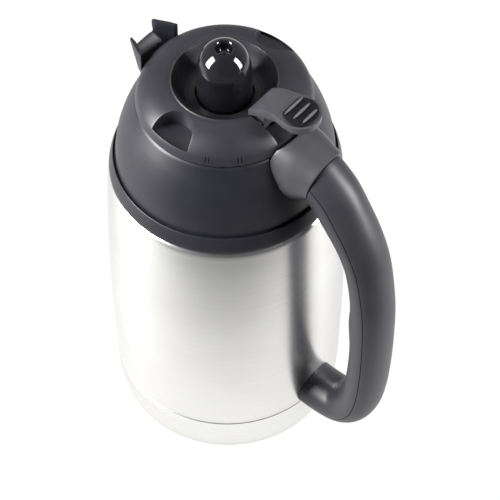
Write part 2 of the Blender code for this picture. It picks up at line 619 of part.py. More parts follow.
def make_lid():
    outline = lid_outline()
    cap = turned("lid_cap", walled(outline, PLASTIC_WALL), black_plastic)
    core_base = STOPPER_TOP_HEIGHT + CLEARANCE
    inside = inner_side(outline, PLASTIC_WALL / 2)
    core = turned("lid_core", [(0, LID_BASE_HEIGHT)] + inside + [(0, inside[-1][1])], closed=False)

    recess_floor = core_base + PLASTIC_WALL
    for side in (-1, 1):
        centre = (0, side * LID_RADIUS)
        pocket = oval("recess_pocket", centre, RECESS_HALF_WIDTH + PLASTIC_WALL, RECESS_REACH + PLASTIC_WALL,
                      core_base, RIM_HEIGHT)
        trim(pocket, core)
        join(cap, pocket)
        space = oval("recess_space", centre, RECESS_HALF_WIDTH, RECESS_REACH, recess_floor, RIM_HEIGHT + OVERRUN)
        trim(space, disc("recess_edge", LID_RADIUS - RECESS_LIP, core_base, RIM_HEIGHT + OVERRUN * 2,
                         steps=TURN_STEPS))
        cut(cap, space)

    channel_floor = LID_BASE_HEIGHT + CHANNEL_FLOOR_HEIGHT
    half_channel = CHANNEL_WIDTH / 2
    sleeve = block("channel_sleeve", (CHANNEL_INNER_REACH - PLASTIC_WALL, -half_channel - PLASTIC_WALL,
                                      channel_floor - PLASTIC_WALL),
                   (LID_RADIUS, half_channel + PLASTIC_WALL, RIM_HEIGHT))
    trim(sleeve, core)
    join(cap, sleeve)
    cut(cap, block("channel_space", (CHANNEL_INNER_REACH - OVERRUN, -half_channel, channel_floor),
                   (LID_RADIUS + OVERRUN, half_channel, RIM_HEIGHT + OVERRUN)))
    cut(cap, block("nose_space", (KNOB_RADIUS, -NOSE_SLOT_WIDTH / 2, LID_BASE_HEIGHT),
                   (NOSE_SLOT_REACH, NOSE_SLOT_WIDTH / 2, PIVOT_LEVEL)))
    pin_reach = half_channel + PLASTIC_WALL
    cut(cap, rod("pin_hole_in_lid", PIVOT_PIN_RADIUS + CLEARANCE, (PIVOT_REACH, -pin_reach - CLEARANCE, PIVOT_LEVEL),
                 (PIVOT_REACH, pin_reach + CLEARANCE, PIVOT_LEVEL)))
    rod("lever_pin", PIVOT_PIN_RADIUS, (PIVOT_REACH, -pin_reach, PIVOT_LEVEL), (PIVOT_REACH, pin_reach, PIVOT_LEVEL),
        steel)

    head_base = STOPPER_FLANGE_HEIGHT - CLEARANCE - SCREW_HEAD_THICKNESS
    for index, (x, y) in enumerate(lid_screw_places()):
        boss = oval("screw_boss", (x, y), BOSS_RADIUS, BOSS_RADIUS, core_base, RIM_HEIGHT)
        trim(boss, core)
        join(cap, boss)
        cut(cap, oval("screw_hole_in_lid", (x, y), HOLE_RADIUS, HOLE_RADIUS, core_base - OVERRUN,
                      core_base + BOSS_DEPTH))
        screw = turned(f"lid_screw_{index + 1}", screw_outline(LID_SCREW_LENGTH), steel, closed=False,
                       steps=SMALL_TURN_STEPS)
        screw.location = (x, y, head_base)


def screw_outline(length):
    """A pan-head screw along +Z with the head's face at zero."""
    return [(0, 0), (SCREW_HEAD_RADIUS, 0), (SCREW_HEAD_RADIUS, SCREW_HEAD_THICKNESS),
            (SCREW_RADIUS, SCREW_HEAD_THICKNESS), (SCREW_RADIUS, SCREW_HEAD_THICKNESS + length),
            (0, SCREW_HEAD_THICKNESS + length)]


def make_stopper():
    lip_radius = STOPPER_RADIUS - STOPPER_LIP_INSET
    groove_radius = STOPPER_RADIUS - SEAL_GROOVE_DEPTH
    groove_base = STOPPER_FLOOR_HEIGHT + STOPPER_LIP_THICKNESS
    groove_top = groove_base + SEAL_GROOVE_HEIGHT
    floor_top = STOPPER_FLOOR_HEIGHT + STOPPER_FLOOR_THICKNESS
    lower_bore = groove_radius - STOPPER_WALL
    body = turned("stopper_body", [
        (VALVE_PORT_RADIUS, STOPPER_FLOOR_HEIGHT), (lip_radius, STOPPER_FLOOR_HEIGHT), (lip_radius, groove_base),
        (groove_radius, groove_base), (groove_radius, groove_top), (STOPPER_RADIUS, groove_top),
        (STOPPER_RADIUS, STOPPER_FLANGE_HEIGHT), (STOPPER_FLANGE_RADIUS, STOPPER_FLANGE_HEIGHT),
        (STOPPER_FLANGE_RADIUS, STOPPER_TOP_HEIGHT), (STOPPER_BORE_RADIUS + LINER_LEDGE, STOPPER_TOP_HEIGHT),
        (STOPPER_BORE_RADIUS + LINER_LEDGE, LEDGE_HEIGHT), (STOPPER_BORE_RADIUS, LEDGE_HEIGHT),
        (STOPPER_BORE_RADIUS, groove_top + STOPPER_THICKENING), (lower_bore, groove_top),
        (lower_bore, floor_top), (VALVE_PORT_RADIUS, floor_top)], black_plastic)
    window_base = FLANGE_TOP_HEIGHT + CLEARANCE
    cut(body, block("pour_window", (-STOPPER_RADIUS - OVERRUN, -WINDOW_HALF_WIDTH, window_base),
                    (-STOPPER_BORE_RADIUS / 2, WINDOW_HALF_WIDTH, window_base + WINDOW_HEIGHT)))
    for x, y in lid_screw_places():
        cut(body, oval("screw_hole_in_stopper", (x, y), HOLE_RADIUS, HOLE_RADIUS, STOPPER_FLANGE_HEIGHT - OVERRUN,
                       STOPPER_TOP_HEIGHT + OVERRUN))
    ring("stopper_gasket", groove_radius + CLEARANCE, STOPPER_RADIUS + STOPPER_GASKET_REACH,
         groove_base + CLEARANCE, groove_top - CLEARANCE, silicone)
    ring("lid_liner", STEM_RADIUS + STEM_GUIDE_CLEARANCE, STOPPER_BORE_RADIUS + LINER_LEDGE - CLEARANCE,
         LINER_BASE_HEIGHT, LINER_TOP_HEIGHT, black_plastic)


def make_valve():
    outside = [(KNOB_RADIUS * out, KNOB_BASE_HEIGHT + KNOB_HEIGHT * up) for out, up in KNOB_SHARES]
    hollow_radius = KNOB_RADIUS - KNOB_WALL
    hollow = [(hollow_radius * out, KNOB_BASE_HEIGHT + KNOB_HEIGHT * up) for out, up in KNOB_HOLLOW_SHARES]
    boss_base = KNOB_ROOF_HEIGHT - KNOB_BOSS_LENGTH
    turned("knob", [(0, KNOB_BASE_HEIGHT + KNOB_HEIGHT - KNOB_DIMPLE_DEPTH),
                    (KNOB_DIMPLE_RADIUS, KNOB_DIMPLE_FLOOR_HEIGHT), (KNOB_DIMPLE_RADIUS, KNOB_TOP_HEIGHT)]
           + outside[::-1] + [(hollow_radius, KNOB_BASE_HEIGHT)] + hollow
           + [(KNOB_BOSS_RADIUS, KNOB_ROOF_HEIGHT - KNOB_WALL), (KNOB_BOSS_RADIUS, boss_base),
              (KNOB_BORE_RADIUS, boss_base), (KNOB_BORE_RADIUS, KNOB_ROOF_HEIGHT), (0, KNOB_ROOF_HEIGHT)],
           glossy_plastic, closed=False, steps=KNOB_TURN_STEPS)
    head_base = VALVE_BASE_HEIGHT - CLEARANCE - STEM_HEAD_THICKNESS
    turned("valve_stem", [(0, head_base), (STEM_HEAD_RADIUS, head_base),
                          (STEM_HEAD_RADIUS, head_base + STEM_HEAD_THICKNESS),
                          (STEM_RADIUS, head_base + STEM_HEAD_THICKNESS), (STEM_RADIUS, STEM_TOP_HEIGHT),
                          (0, STEM_TOP_HEIGHT)], steel, closed=False, steps=SMALL_TURN_STEPS)
    ring("valve_disc", STEM_RADIUS + CLEARANCE, VALVE_RADIUS, VALVE_BASE_HEIGHT, VALVE_TOP_HEIGHT, black_plastic,
         steps=SMALL_TURN_STEPS)
    ring("valve_seal", VALVE_RADIUS - VALVE_SEAL_WIDTH, VALVE_RADIUS, VALVE_SEAL_BASE_HEIGHT,
         VALVE_SEAL_BASE_HEIGHT + VALVE_SEAL_THICKNESS, silicone, steps=SMALL_TURN_STEPS)
    make_spring(VALVE_TOP_HEIGHT + CLEARANCE, LINER_BASE_HEIGHT - CLEARANCE)


def make_spring(base, top):
    """The coil that presses the valve disc down, from the disc up to the liner."""
    low = base + SPRING_WIRE_RADIUS
    high = top - SPRING_WIRE_RADIUS
    count = SPRING_TURNS * SPRING_POINTS_PER_TURN
    curve = bpy.data.curves.new("valve_spring", "CURVE")
    curve.dimensions = "3D"
    curve.bevel_depth = SPRING_WIRE_RADIUS
    curve.bevel_resolution = 1
    curve.use_fill_caps = True
    coil = curve.splines.new("POLY")
    coil.points.add(count)
    for index, point in enumerate(coil.points):
        angle = math.tau * index / SPRING_POINTS_PER_TURN
        point.co = (SPRING_COIL_RADIUS * math.cos(angle), SPRING_COIL_RADIUS * math.sin(angle),
                    blend(low, high, index / count), 1)
    curve.materials.append(steel("valve_spring"))
    bpy.context.scene.collection.objects.link(bpy.data.objects.new("valve_spring", curve))


def make_lever():
    half_width = CHANNEL_WIDTH / 2 - LEVER_SIDE_CLEARANCE
    reach = PAD_REACH + PAD_HALF_LENGTH - PIVOT_REACH
    pad_top = PIVOT_LEVEL + LEVER_RISE
    arm_base = pad_top - LEVER_THICKNESS
    boss = PIVOT_PIN_RADIUS * 2
    top = [(PIVOT_REACH + reach * out, PIVOT_LEVEL + LEVER_RISE * up) for out, up in LEVER_TOP_SHARES]
    under = [(PIVOT_REACH + reach * out, arm_base + LEVER_RISE * up) for out, up in LEVER_UNDER_SHARES]
    hub = [(PIVOT_REACH + boss * out, PIVOT_LEVEL + boss * up) for out, up in LEVER_BOSS_SHARES]
    lever = plate("thumb_lever", top + under + hub, half_width, black_plastic)
    join(lever, oval("pad_plate", (PAD_REACH, 0), PAD_HALF_LENGTH, PAD_HALF_WIDTH, pad_top - PAD_DEPTH, pad_top,
                     steps=SMALL_TURN_STEPS))
    tip_top = NOSE_TOP_HEIGHT
    tip_base = NOSE_TOP_HEIGHT - NOSE_THICKNESS
    knee = KNOB_HOLE_RADIUS
    nose = plate("lever_nose", [(NOSE_TIP_REACH, tip_base), (NOSE_TIP_REACH, tip_top), (knee, tip_top),
                                (PIVOT_REACH - boss / 2, PIVOT_LEVEL), (PIVOT_REACH + boss / 3, PIVOT_LEVEL - boss),
                                (knee + NOSE_THICKNESS * 2, tip_base)],
                 NOSE_SLOT_WIDTH / 2 - NOSE_SIDE_CLEARANCE)
    join(lever, nose)
    cut(lever, rod("pin_hole_in_lever", PIVOT_PIN_RADIUS + CLEARANCE, (PIVOT_REACH, -CHANNEL_WIDTH, PIVOT_LEVEL),
                   (PIVOT_REACH, CHANNEL_WIDTH, PIVOT_LEVEL)))
    insert_base = pad_top + CLEARANCE
    insert_top = insert_base + THUMB_PAD_THICKNESS
    insert = oval("lever_pad", (PAD_REACH, 0), PAD_HALF_LENGTH - THUMB_PAD_MARGIN, PAD_HALF_WIDTH - THUMB_PAD_MARGIN,
                  insert_base, insert_top, rubber)
    for index in range(RIB_COUNT):
        x = PAD_REACH + (index - (RIB_COUNT - 1) / 2) * RIB_SPACING
        join(insert, oval("pad_rib", (x, 0), RIB_WIDTH / 2, RIB_HALF_LENGTH, insert_base + THUMB_PAD_THICKNESS / 2,
                          insert_top + RIB_HEIGHT, steps=SMALL_TURN_STEPS // 2))


def handle_stations():
    """Centre, direction toward the foot and thickness at each place along the handle."""
    foot_reach = side_radius(HANDLE_FOOT_HEIGHT) + HANDLE_FOOT_STANDOFF
    path = []
    for place, (out, up, root) in enumerate(HANDLE_PATH_SHARES):
        x = blend(HANDLE_SEAM_REACH if place < HANDLE_REACH_PLACE else foot_reach, HANDLE_REACH, out)
        z = blend(HANDLE_FOOT_HEIGHT, HANDLE_SEAM_HEIGHT, up)
        end_thickness = HANDLE_ROOT_THICKNESS if root > 0 else HANDLE_FOOT_THICKNESS
        path.append((Vector((x, z)), blend(HANDLE_GRIP_THICKNESS, end_thickness, abs(root))))
    points = [point for point, _ in path]
    stations = []
    for index, (point, thickness) in enumerate(path):
        run = (points[min(index + 1, len(points) - 1)] - points[max(index - 1, 0)]).normalized()
        if index == 0:
            run = Vector((math.cos(HANDLE_SEAM_LEAN), -math.sin(HANDLE_SEAM_LEAN)))
        stations.append((point, run, thickness))
    return stations


def half_section(thickness, outward):
    """A walled half of the handle's section as (across, outward) points, split a little inside its middle."""
    split = -thickness / 2 * HANDLE_SPLIT_SHARE
    start = split + CLEARANCE / 2 if outward else split - CLEARANCE / 2
    steps = range(HANDLE_SECTION_STEPS + 1)
    loops = []
    for inset in (0, HANDLE_WALL):
        width = HANDLE_WIDTH / 2 - inset
        depth = thickness / 2 - inset
        loop = []
        first = math.asin(max(-1, min(1, start / depth)))
        angles = [blend(first, math.pi - first, step / HANDLE_SECTION_STEPS) for step in steps]
        if not outward:
            angles = [blend(first, -math.pi - first, step / HANDLE_SECTION_STEPS) for step in steps]
        for angle in angles:
            across = math.copysign(abs(math.cos(angle)) ** (2 / HANDLE_SECTION_POWER), math.cos(angle)) * width
            rise = math.copysign(abs(math.sin(angle)) ** (2 / HANDLE_SECTION_POWER), math.sin(angle)) * depth
            rise = max(rise, start) if outward else min(rise, start)
            loop.append((across, rise))
        loop[0] = (loop[0][0], start)
        loop[-1] = (loop[-1][0], start)
        loops.append(loop)
    return loops[0] + loops[1][::-1]


def handle_half(name, outward, finish):
    sections = []
    for point, run, thickness in handle_stations():
        outer_way = Vector((-run.y, run.x))
        section = half_section(thickness, outward)
        sections.append([(point.x + outer_way.x * rise, across, point.y + outer_way.y * rise)
                         for across, rise in section])
    return lofted(name, sections, finish)


def shell_space(name, grown):
    """The vessel's outside as a solid, grown by a clearance, for cutting what seats on it."""
    side = [(radius + grown, height) for radius, height in steel_side()]
    return turned(name, [(0, side[0][1] - SEAM_HEIGHT / 2), (side[0][0], side[0][1] - SEAM_HEIGHT / 2)] + side
                  + [(0, side[-1][1])], closed=False)


def bracket_screw_place(side):
    return side * BRACKET_SCREW_SPACING / 2, HANDLE_SEAM_HEIGHT - BRACKET_SCREW_DROP


def bracket_outlines():
    """Loops of (across, height) points for the bracket's flange and for its end at the seam, from the lowest point."""
    base = SHOULDER_BASE_HEIGHT + BRACKET_FLANGE_RISE
    seat = SHOULDER_TOP_HEIGHT + BRACKET_SEAT_RISE
    flange = [(BRACKET_FLANGE_HALF_WIDTH * out, blend(base, seat, up)) for out, up in BRACKET_FLANGE_SHARES]
    last = len(flange) - 1
    end = []
    for step in range(last + 1):
        angle = blend(-math.pi / 2, math.pi / 2, step / last)
        across = abs(math.cos(angle)) ** (2 / HANDLE_SECTION_POWER)
        rise = math.copysign(abs(math.sin(angle)) ** (2 / HANDLE_SECTION_POWER), angle)
        across = 0 if step in (0, last) else across
        end.append((HANDLE_WIDTH / 2 * across, HANDLE_SEAM_HEIGHT + HANDLE_ROOT_THICKNESS / 2 * rise))
    return [side + [(-across, height) for across, height in side[-2:0:-1]] for side in (flange, end)]


def make_bracket():
    seam, run, _ = handle_stations()[0]
    lean = run.y / run.x
    flange, end = bracket_outlines()
    sections = []
    for out, share in BRACKET_RUN_SHARES:
        x = blend(MOUTH_RADIUS, seam.x - CLEARANCE, out)
        section = []
        for (near_across, near_height), (far_across, far_height) in zip(flange, end):
            height = blend(near_height, far_height, share)
            section.append((x - lean * share * (height - seam.y), blend(near_across, far_across, share), height))
        sections.append(section)
    bracket = lofted("handle_bracket", sections, grey_plastic)
    dome = shaped((SHOULDER_RADIUS, SHOULDER_BASE_HEIGHT), (LID_RADIUS, SHOULDER_TOP_HEIGHT), SHOULDER_SHARES)
    grown = [(radius + CLEARANCE * 2, height) for radius, height in dome]
    low = SHOULDER_BASE_HEIGHT - COLLAR_HEIGHT
    space_top = SHOULDER_TOP_HEIGHT + BRACKET_SEAT_RISE + OVERRUN
    cut(bracket, turned("dome_space", [(0, low), (WAIST_RADIUS + COLLAR_EDGE + CLEARANCE, low),
                                       (WAIST_RADIUS + COLLAR_EDGE + CLEARANCE, SHOULDER_BASE_HEIGHT)] + grown
                        + [(LID_RADIUS + CLEARANCE * 2, space_top), (0, space_top)], closed=False))
    tongue_end = seam.x + BRACKET_TONGUE_LENGTH
    join(bracket, block("bracket_tongue", (seam.x - OVERRUN, -BRACKET_TONGUE_WIDTH / 2,
                                           seam.y - BRACKET_TONGUE_HEIGHT / 2),
                        (tongue_end, BRACKET_TONGUE_WIDTH / 2, seam.y + BRACKET_TONGUE_HEIGHT / 2)))
    for side in (-1, 1):
        y, z = bracket_screw_place(side)
        inner_dome = dome_radius(z + SCREW_HEAD_RADIUS) - PLASTIC_WALL - CLEARANCE
        face = math.sqrt(inner_dome ** 2 - (abs(y) + SCREW_HEAD_RADIUS) ** 2) - BRACKET_SCREW_HEAD_DEPTH
        tip = face + SCREW_HEAD_THICKNESS + BRACKET_SCREW_GRIP
        cut(bracket, rod("bracket_hole", HOLE_RADIUS, (MOUTH_RADIUS, y, z), (tip + CLEARANCE, y, z)))
        screw = turned("bracket_screw_1" if side < 0 else "bracket_screw_2", screw_outline(BRACKET_SCREW_GRIP), steel,
                       closed=False, steps=SMALL_TURN_STEPS)
        screw.location = (face, y, z)
        screw.rotation_euler = (0, math.pi / 2, 0)


def dome_radius(height):
    """Outer radius of the shoulder dome at a height."""
    dome = shaped((SHOULDER_RADIUS, SHOULDER_BASE_HEIGHT), (LID_RADIUS, SHOULDER_TOP_HEIGHT), SHOULDER_SHARES)
    for (low_radius, low), (high_radius, high) in zip(dome, dome[1:]):
        if height <= high:
            return blend(low_radius, high_radius, (height - low) / (high - low))
    return dome[-1][0]


def make_handle():
    grip = handle_half("handle_grip", True, black_plastic)
    cover = handle_half("handle_inner_cover", False, black_plastic)
    for half in (grip, cover):
        cut(half, shell_space("shell_space", CLEARANCE))

    plate_base = HANDLE_FOOT_HEIGHT - FOOT_PLATE_HEIGHT / 2
    plate_top = plate_base + FOOT_PLATE_HEIGHT
    inner = [(side_radius(height) + CLEARANCE, height) for height in (plate_base, plate_top)]
    sector = inner + [(radius + FOOT_PLATE_THICKNESS, height) for radius, height in inner[::-1]]
    sections = []
    half_angle = math.asin(FOOT_PLATE_HALF_WIDTH / inner[0][0])
    for angle in (-half_angle, 0, half_angle):
        sections.append([(radius * math.cos(angle), radius * math.sin(angle), height) for radius, height in sector])
    foot_plate = lofted("foot_plate", sections, steel)
    lug_start = inner[-1][0] + FOOT_PLATE_THICKNESS / 2
    lug_top = HANDLE_FOOT_HEIGHT + FOOT_LUG_THICKNESS / 2
    join(foot_plate, block("foot_lug", (lug_start, -FOOT_LUG_HALF_WIDTH, lug_top - FOOT_LUG_THICKNESS),
                           (lug_start + FOOT_LUG_LENGTH, FOOT_LUG_HALF_WIDTH, lug_top)))
    place = (lug_start + FOOT_SCREW_REACH, 0)
    foot_base = HANDLE_FOOT_HEIGHT - HANDLE_FOOT_THICKNESS / 2
    for made in (foot_plate, grip):
        cut(made, oval("foot_screw_hole", place, HOLE_RADIUS, HOLE_RADIUS, foot_base - OVERRUN, lug_top + OVERRUN))
    head_base = foot_base - CLEARANCE - SCREW_HEAD_THICKNESS
    length = lug_top + FOOT_SCREW_TAIL - foot_base + CLEARANCE
    screw = turned("foot_screw", screw_outline(length), steel, closed=False, steps=SMALL_TURN_STEPS)
    screw.location = (*place, head_base)


def main():
    for old in list(bpy.data.objects):
        bpy.data.objects.remove(old, do_unlink=True)
    make_vessel()
    make_collar_and_throat()
    make_shoulder()
    make_lid()
    make_stopper()
    make_valve()
    make_lever()
    make_bracket()
    make_handle()


main()
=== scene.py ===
"""Thermal carafe with a lever lid: camera, light, finishes and the pieces that show, in metres, +Z up.

The handle points to +X and the spout to -X. Round pieces are drawn up as rings, long pieces are drawn along a
line, and openings are cut with plain solids.
"""
import math

import bpy
from mathutils import Matrix, Vector


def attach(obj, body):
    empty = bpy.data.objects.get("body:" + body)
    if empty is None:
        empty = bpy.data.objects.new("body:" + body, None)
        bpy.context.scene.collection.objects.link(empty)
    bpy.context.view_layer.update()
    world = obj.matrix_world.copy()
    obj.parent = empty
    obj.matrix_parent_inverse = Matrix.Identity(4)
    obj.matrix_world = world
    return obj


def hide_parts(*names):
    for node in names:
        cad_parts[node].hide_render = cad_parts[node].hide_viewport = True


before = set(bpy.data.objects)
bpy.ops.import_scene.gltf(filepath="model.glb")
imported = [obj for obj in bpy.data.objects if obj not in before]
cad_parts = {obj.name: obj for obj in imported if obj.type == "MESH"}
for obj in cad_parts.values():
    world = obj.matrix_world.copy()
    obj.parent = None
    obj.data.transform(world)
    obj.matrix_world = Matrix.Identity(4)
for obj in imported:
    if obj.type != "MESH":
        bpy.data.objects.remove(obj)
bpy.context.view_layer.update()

# Corners round a ring: a large one that shows, a middling one, a small one or a guide
LARGE_ROUND = 192
MIDDLE_ROUND = 160
SMALL_ROUND = 128

# Shared by many pieces: the radius that stands for the axis, and degrees up to which a turn is shaded smooth
POLE = 0.000002
SMOOTH_BELOW = 32

# Camera: its bearing in degrees from -Y toward +X, its rise in radians, its distance from the point at studio
# height on the axis, how many degrees it looks to the side of that point and below it, and its lens
CAMERA_BEARING = 41
CAMERA_RISE = 0.8988
CAMERA_DISTANCE = 1.2244
LOOK_ASIDE = 1.008
LOOK_DOWN = 2.384
SENSOR_WIDTH = 36
FOCAL_PIXELS = 2223.3
PICTURE_PIXELS = 500
STUDIO_HEIGHT = 0.2

# How wide the table is
FLOOR_SIZE = 1.8

# Noise lies mostly between these two values
NOISE_LOW, NOISE_HIGH = 0.3, 0.7


# Ways of making a finish

def finish(name, colour, roughness, metallic=0.0):
    """A material with its shader, to hang detail on."""
    made = bpy.data.materials.new(name)
    made.use_nodes = True
    shader = made.node_tree.nodes["Principled BSDF"]
    shader.inputs["Base Color"].default_value = (*colour, 1)
    shader.inputs["Roughness"].default_value = roughness
    shader.inputs["Metallic"].default_value = metallic
    return made, shader


def noise(made, scale, detail, stretch=(1, 1, 1), rough=0.5):
    """Noise on the piece's own coordinates, finer along an axis that is stretched."""
    nodes, links = made.node_tree.nodes, made.node_tree.links
    place = nodes.new("ShaderNodeTexCoord")
    mapping = nodes.new("ShaderNodeMapping")
    mapping.inputs["Scale"].default_value = stretch
    links.new(place.outputs["Object"], mapping.inputs["Vector"])
    grain = nodes.new("ShaderNodeTexNoise")
    grain.inputs["Scale"].default_value = scale
    grain.inputs["Detail"].default_value = detail
    grain.inputs["Roughness"].default_value = rough
    links.new(mapping.outputs["Vector"], grain.inputs["Vector"])
    return grain.outputs["Fac"]


def gloss(made, shader, value, low, high):
    """Roughness that wanders between two values."""
    node = made.node_tree.nodes.new("ShaderNodeMapRange")
    node.inputs["From Min"].default_value = NOISE_LOW
    node.inputs["From Max"].default_value = NOISE_HIGH
    node.inputs["To Min"].default_value = low
    node.inputs["To Max"].default_value = high
    made.node_tree.links.new(value, node.inputs["Value"])
    made.node_tree.links.new(node.outputs["Result"], shader.inputs["Roughness"])


def tint(made, shader, value, dark, light):
    """Colour that wanders a little between two tones."""
    ramp = made.node_tree.nodes.new("ShaderNodeValToRGB")
    ramp.color_ramp.elements[0].position = NOISE_LOW
    ramp.color_ramp.elements[0].color = (*dark, 1)
    ramp.color_ramp.elements[1].position = NOISE_HIGH
    ramp.color_ramp.elements[1].color = (*light, 1)
    made.node_tree.links.new(value, ramp.inputs["Fac"])
    made.node_tree.links.new(ramp.outputs["Color"], shader.inputs["Base Color"])


def relief(made, shader, value, strength, depth):
    """Fine unevenness of the surface."""
    bump = made.node_tree.nodes.new("ShaderNodeBump")
    bump.inputs["Strength"].default_value = strength
    bump.inputs["Distance"].default_value = depth
    made.node_tree.links.new(value, bump.inputs["Height"])
    made.node_tree.links.new(bump.outputs["Normal"], shader.inputs["Normal"])


def toward(bearing, rise=0.0):
    """A direction, in degrees to the right of the camera's side and above level."""
    angle = math.radians(bearing + CAMERA_BEARING - 90)
    return Vector((math.cos(angle), math.sin(angle), math.tan(math.radians(rise)))).normalized()


def along(made, kind, direction):
    """How far a place, or a view of the studio, lies along a direction."""
    nodes, links = made.node_tree.nodes, made.node_tree.links
    place = nodes.new("ShaderNodeTexCoord")
    reach = nodes.new("ShaderNodeVectorMath")
    reach.operation = "DOT_PRODUCT"
    reach.inputs[1].default_value = direction
    links.new(place.outputs[kind], reach.inputs[0])
    return reach.outputs["Value"]


def soft_step(made, value, near, far, low, high):
    """A soft step in a value, from low at near to high at far."""
    node = made.node_tree.nodes.new("ShaderNodeMapRange")
    node.interpolation_type = "SMOOTHSTEP"
    node.inputs["From Min"].default_value = near
    node.inputs["From Max"].default_value = far
    node.inputs["To Min"].default_value = low
    node.inputs["To Max"].default_value = high
    made.node_tree.links.new(value, node.inputs["Value"])
    return node.outputs["Result"]


# Finishes

def brushed_steel(name, tone=0.9, base=0.29):
    """Stainless steel brushed round the vessel: fine level scratches, slow clouding and upright glints."""
    made, shader = finish(name, (tone, tone * 0.99, tone * 0.975), base, metallic=1.0)
    scratches = noise(made, scale=1, detail=3, stretch=(7, 7, 4200), rough=0.6)
    clouds = noise(made, scale=18, detail=2)
    tint(made, shader, clouds, dark=(tone * 0.97, tone * 0.96, tone * 0.945),
         light=(tone * 1.02, tone * 1.015, tone))
    gloss(made, shader, scratches, base - 0.02, base + 0.04)
    relief(made, shader, scratches, strength=0.12, depth=0.00001)
    around = made.node_tree.nodes.new("ShaderNodeTangent")
    around.direction_type, around.axis = "RADIAL", "Z"
    made.node_tree.links.new(around.outputs["Tangent"], shader.inputs["Tangent"])
    shader.inputs["Specular Tint"].default_value = (0.72, 0.72, 0.72, 1)
    shader.inputs["Anisotropic"].default_value = 0.65
    shader.inputs["Anisotropic Rotation"].default_value = 0.25
    return made


def moulded_black(name, tone=0.011, base=0.42):
    """Black plastic from a fine-grained mould, with a cold cast."""
    cold = tone + 0.0055
    made, shader = finish(name, (tone, tone, cold), base)
    grain = noise(made, scale=2600, detail=2)
    clouds = noise(made, scale=55, detail=3)
    tint(made, shader, clouds, dark=(tone * 0.88, tone * 0.86, cold * 0.9),
         light=(tone * 1.12, tone * 1.1, cold * 1.1))
    gloss(made, shader, clouds, base - 0.03, base + 0.04)
    relief(made, shader, grain, strength=0.2, depth=0.00003)
    return made


def polished_black(name):
    """Glossy black plastic, with the faint waviness of a moulded surface."""
    made, shader = finish(name, (0.009, 0.009, 0.011), 0.05)
    shader.inputs["Coat Weight"].default_value = 0.3
    shader.inputs["Coat Roughness"].default_value = 0.03
    clouds = noise(made, scale=70, detail=3)
    tint(made, shader, clouds, dark=(0.007, 0.007, 0.009), light=(0.011, 0.011, 0.013))
    gloss(made, shader, clouds, 0.04, 0.075)
    relief(made, shader, noise(made, scale=240, detail=2), strength=0.03, depth=0.0001)
    return made


def ribbed_rubber(name):
    """Dull rubber, with the tops of the ribs painted a paler grey as a painted highlight."""
    made, shader = finish(name, (0.01, 0.01, 0.012), 0.5)
    nodes, links = made.node_tree.nodes, made.node_tree.links
    clouds = noise(made, scale=120, detail=3)
    tint(made, shader, clouds, dark=(0.005, 0.005, 0.007), light=(0.009, 0.009, 0.011))
    shader.inputs["Specular IOR Level"].default_value = 0.2
    # Painted highlight: a paler grey on the tops of the ribs, chosen by their height
    rib_highlight = nodes.new("ShaderNodeMix")
    rib_highlight.data_type = "RGBA"
    colour_a, colour_b = [socket for socket in rib_highlight.inputs if socket.type == "RGBA"]
    colour_b.default_value = (0.11, 0.11, 0.12, 1)
    height = along(made, "Object", (0, 0, 1))
    links.new(soft_step(made, height, near=RIB_TOP - 0.0009, far=RIB_TOP - 0.0005, low=0.0, high=1.0),
              rib_highlight.inputs[0])
    links.new(shader.inputs["Base Color"].links[0].from_socket, colour_a)
    links.new([socket for socket in rib_highlight.outputs if socket.type == "RGBA"][0], shader.inputs["Base Color"])
    gloss(made, shader, clouds, 0.46, 0.56)
    relief(made, shader, noise(made, scale=3800, detail=2), strength=0.3, depth=0.00003)
    return made


def pale_silicone(name):
    """Milky silicone of the seals."""
    made, shader = finish(name, (0.6, 0.6, 0.57), 0.55)
    shader.inputs["Subsurface Weight"].default_value = 0.1
    clouds = noise(made, scale=160, detail=3)
    tint(made, shader, clouds, dark=(0.52, 0.52, 0.49), light=(0.64, 0.64, 0.61))
    relief(made, shader, clouds, strength=0.1, depth=0.0001)
    return made


def glowing_floor(name):
    """A white table that glows as painted light, with painted shade: dimmer far in front of the carafe and
    far behind it.
    """
    made, shader = finish(name, (0.03, 0.03, 0.03), 0.7)
    clouds = noise(made, scale=2.2, detail=3)
    tint(made, shader, clouds, dark=(0.027, 0.027, 0.026), light=(0.033, 0.033, 0.032))
    shader.inputs["Specular IOR Level"].default_value = 0.0
    # Painted light: the table glows near the carafe, so no shadow shows on it
    shader.inputs["Emission Color"].default_value = (1.0, 1.0, 0.99, 1)
    both = made.node_tree.nodes.new("ShaderNodeMath")
    both.operation = "MULTIPLY"
    # Painted shade: the glow falls off far in front of the carafe, darkening the steel's reflection under the
    # band, and far behind it
    in_front = soft_step(made, along(made, "Object", toward(0)), near=0.11, far=0.27, low=0.98, high=0.15)
    made.node_tree.links.new(in_front, both.inputs[0])
    behind = soft_step(made, along(made, "Object", toward(180)), near=0.4, far=0.7, low=1.0, high=0.6)
    made.node_tree.links.new(behind, both.inputs[1])
    made.node_tree.links.new(both.outputs[0], shader.inputs["Emission Strength"])
    return made


# The top of the ribs on the thumb pad, which the rubber's painted highlight follows
RIB_TOP = 0.2809

STEEL = brushed_steel("brushed_steel_side")
STEEL_FOOT = brushed_steel("brushed_steel_foot", tone=0.91, base=0.27)
PLAIN_STEEL = brushed_steel("plain_steel", tone=0.6, base=0.3)
BLACK = moulded_black("moulded_black")
LID_BLACK = moulded_black("lid_black", tone=0.021)
GRIP_BLACK = moulded_black("grip_black", tone=0.026)
SATIN_GREY = moulded_black("satin_grey", tone=0.055, base=0.38)
KNOB_BLACK = polished_black("knob_black")
RUBBER = ribbed_rubber("ribbed_rubber")
SILICONE = pale_silicone("pale_silicone")


# Ways of making a piece

def alone(*objects):
    """Leave edit mode and select only these objects."""
    if bpy.context.object and bpy.context.object.mode != "OBJECT":
        bpy.ops.object.mode_set(mode="OBJECT")
    bpy.ops.object.select_all(action="DESELECT")
    for each in objects:
        each.select_set(True)
        bpy.context.view_layer.objects.active = each


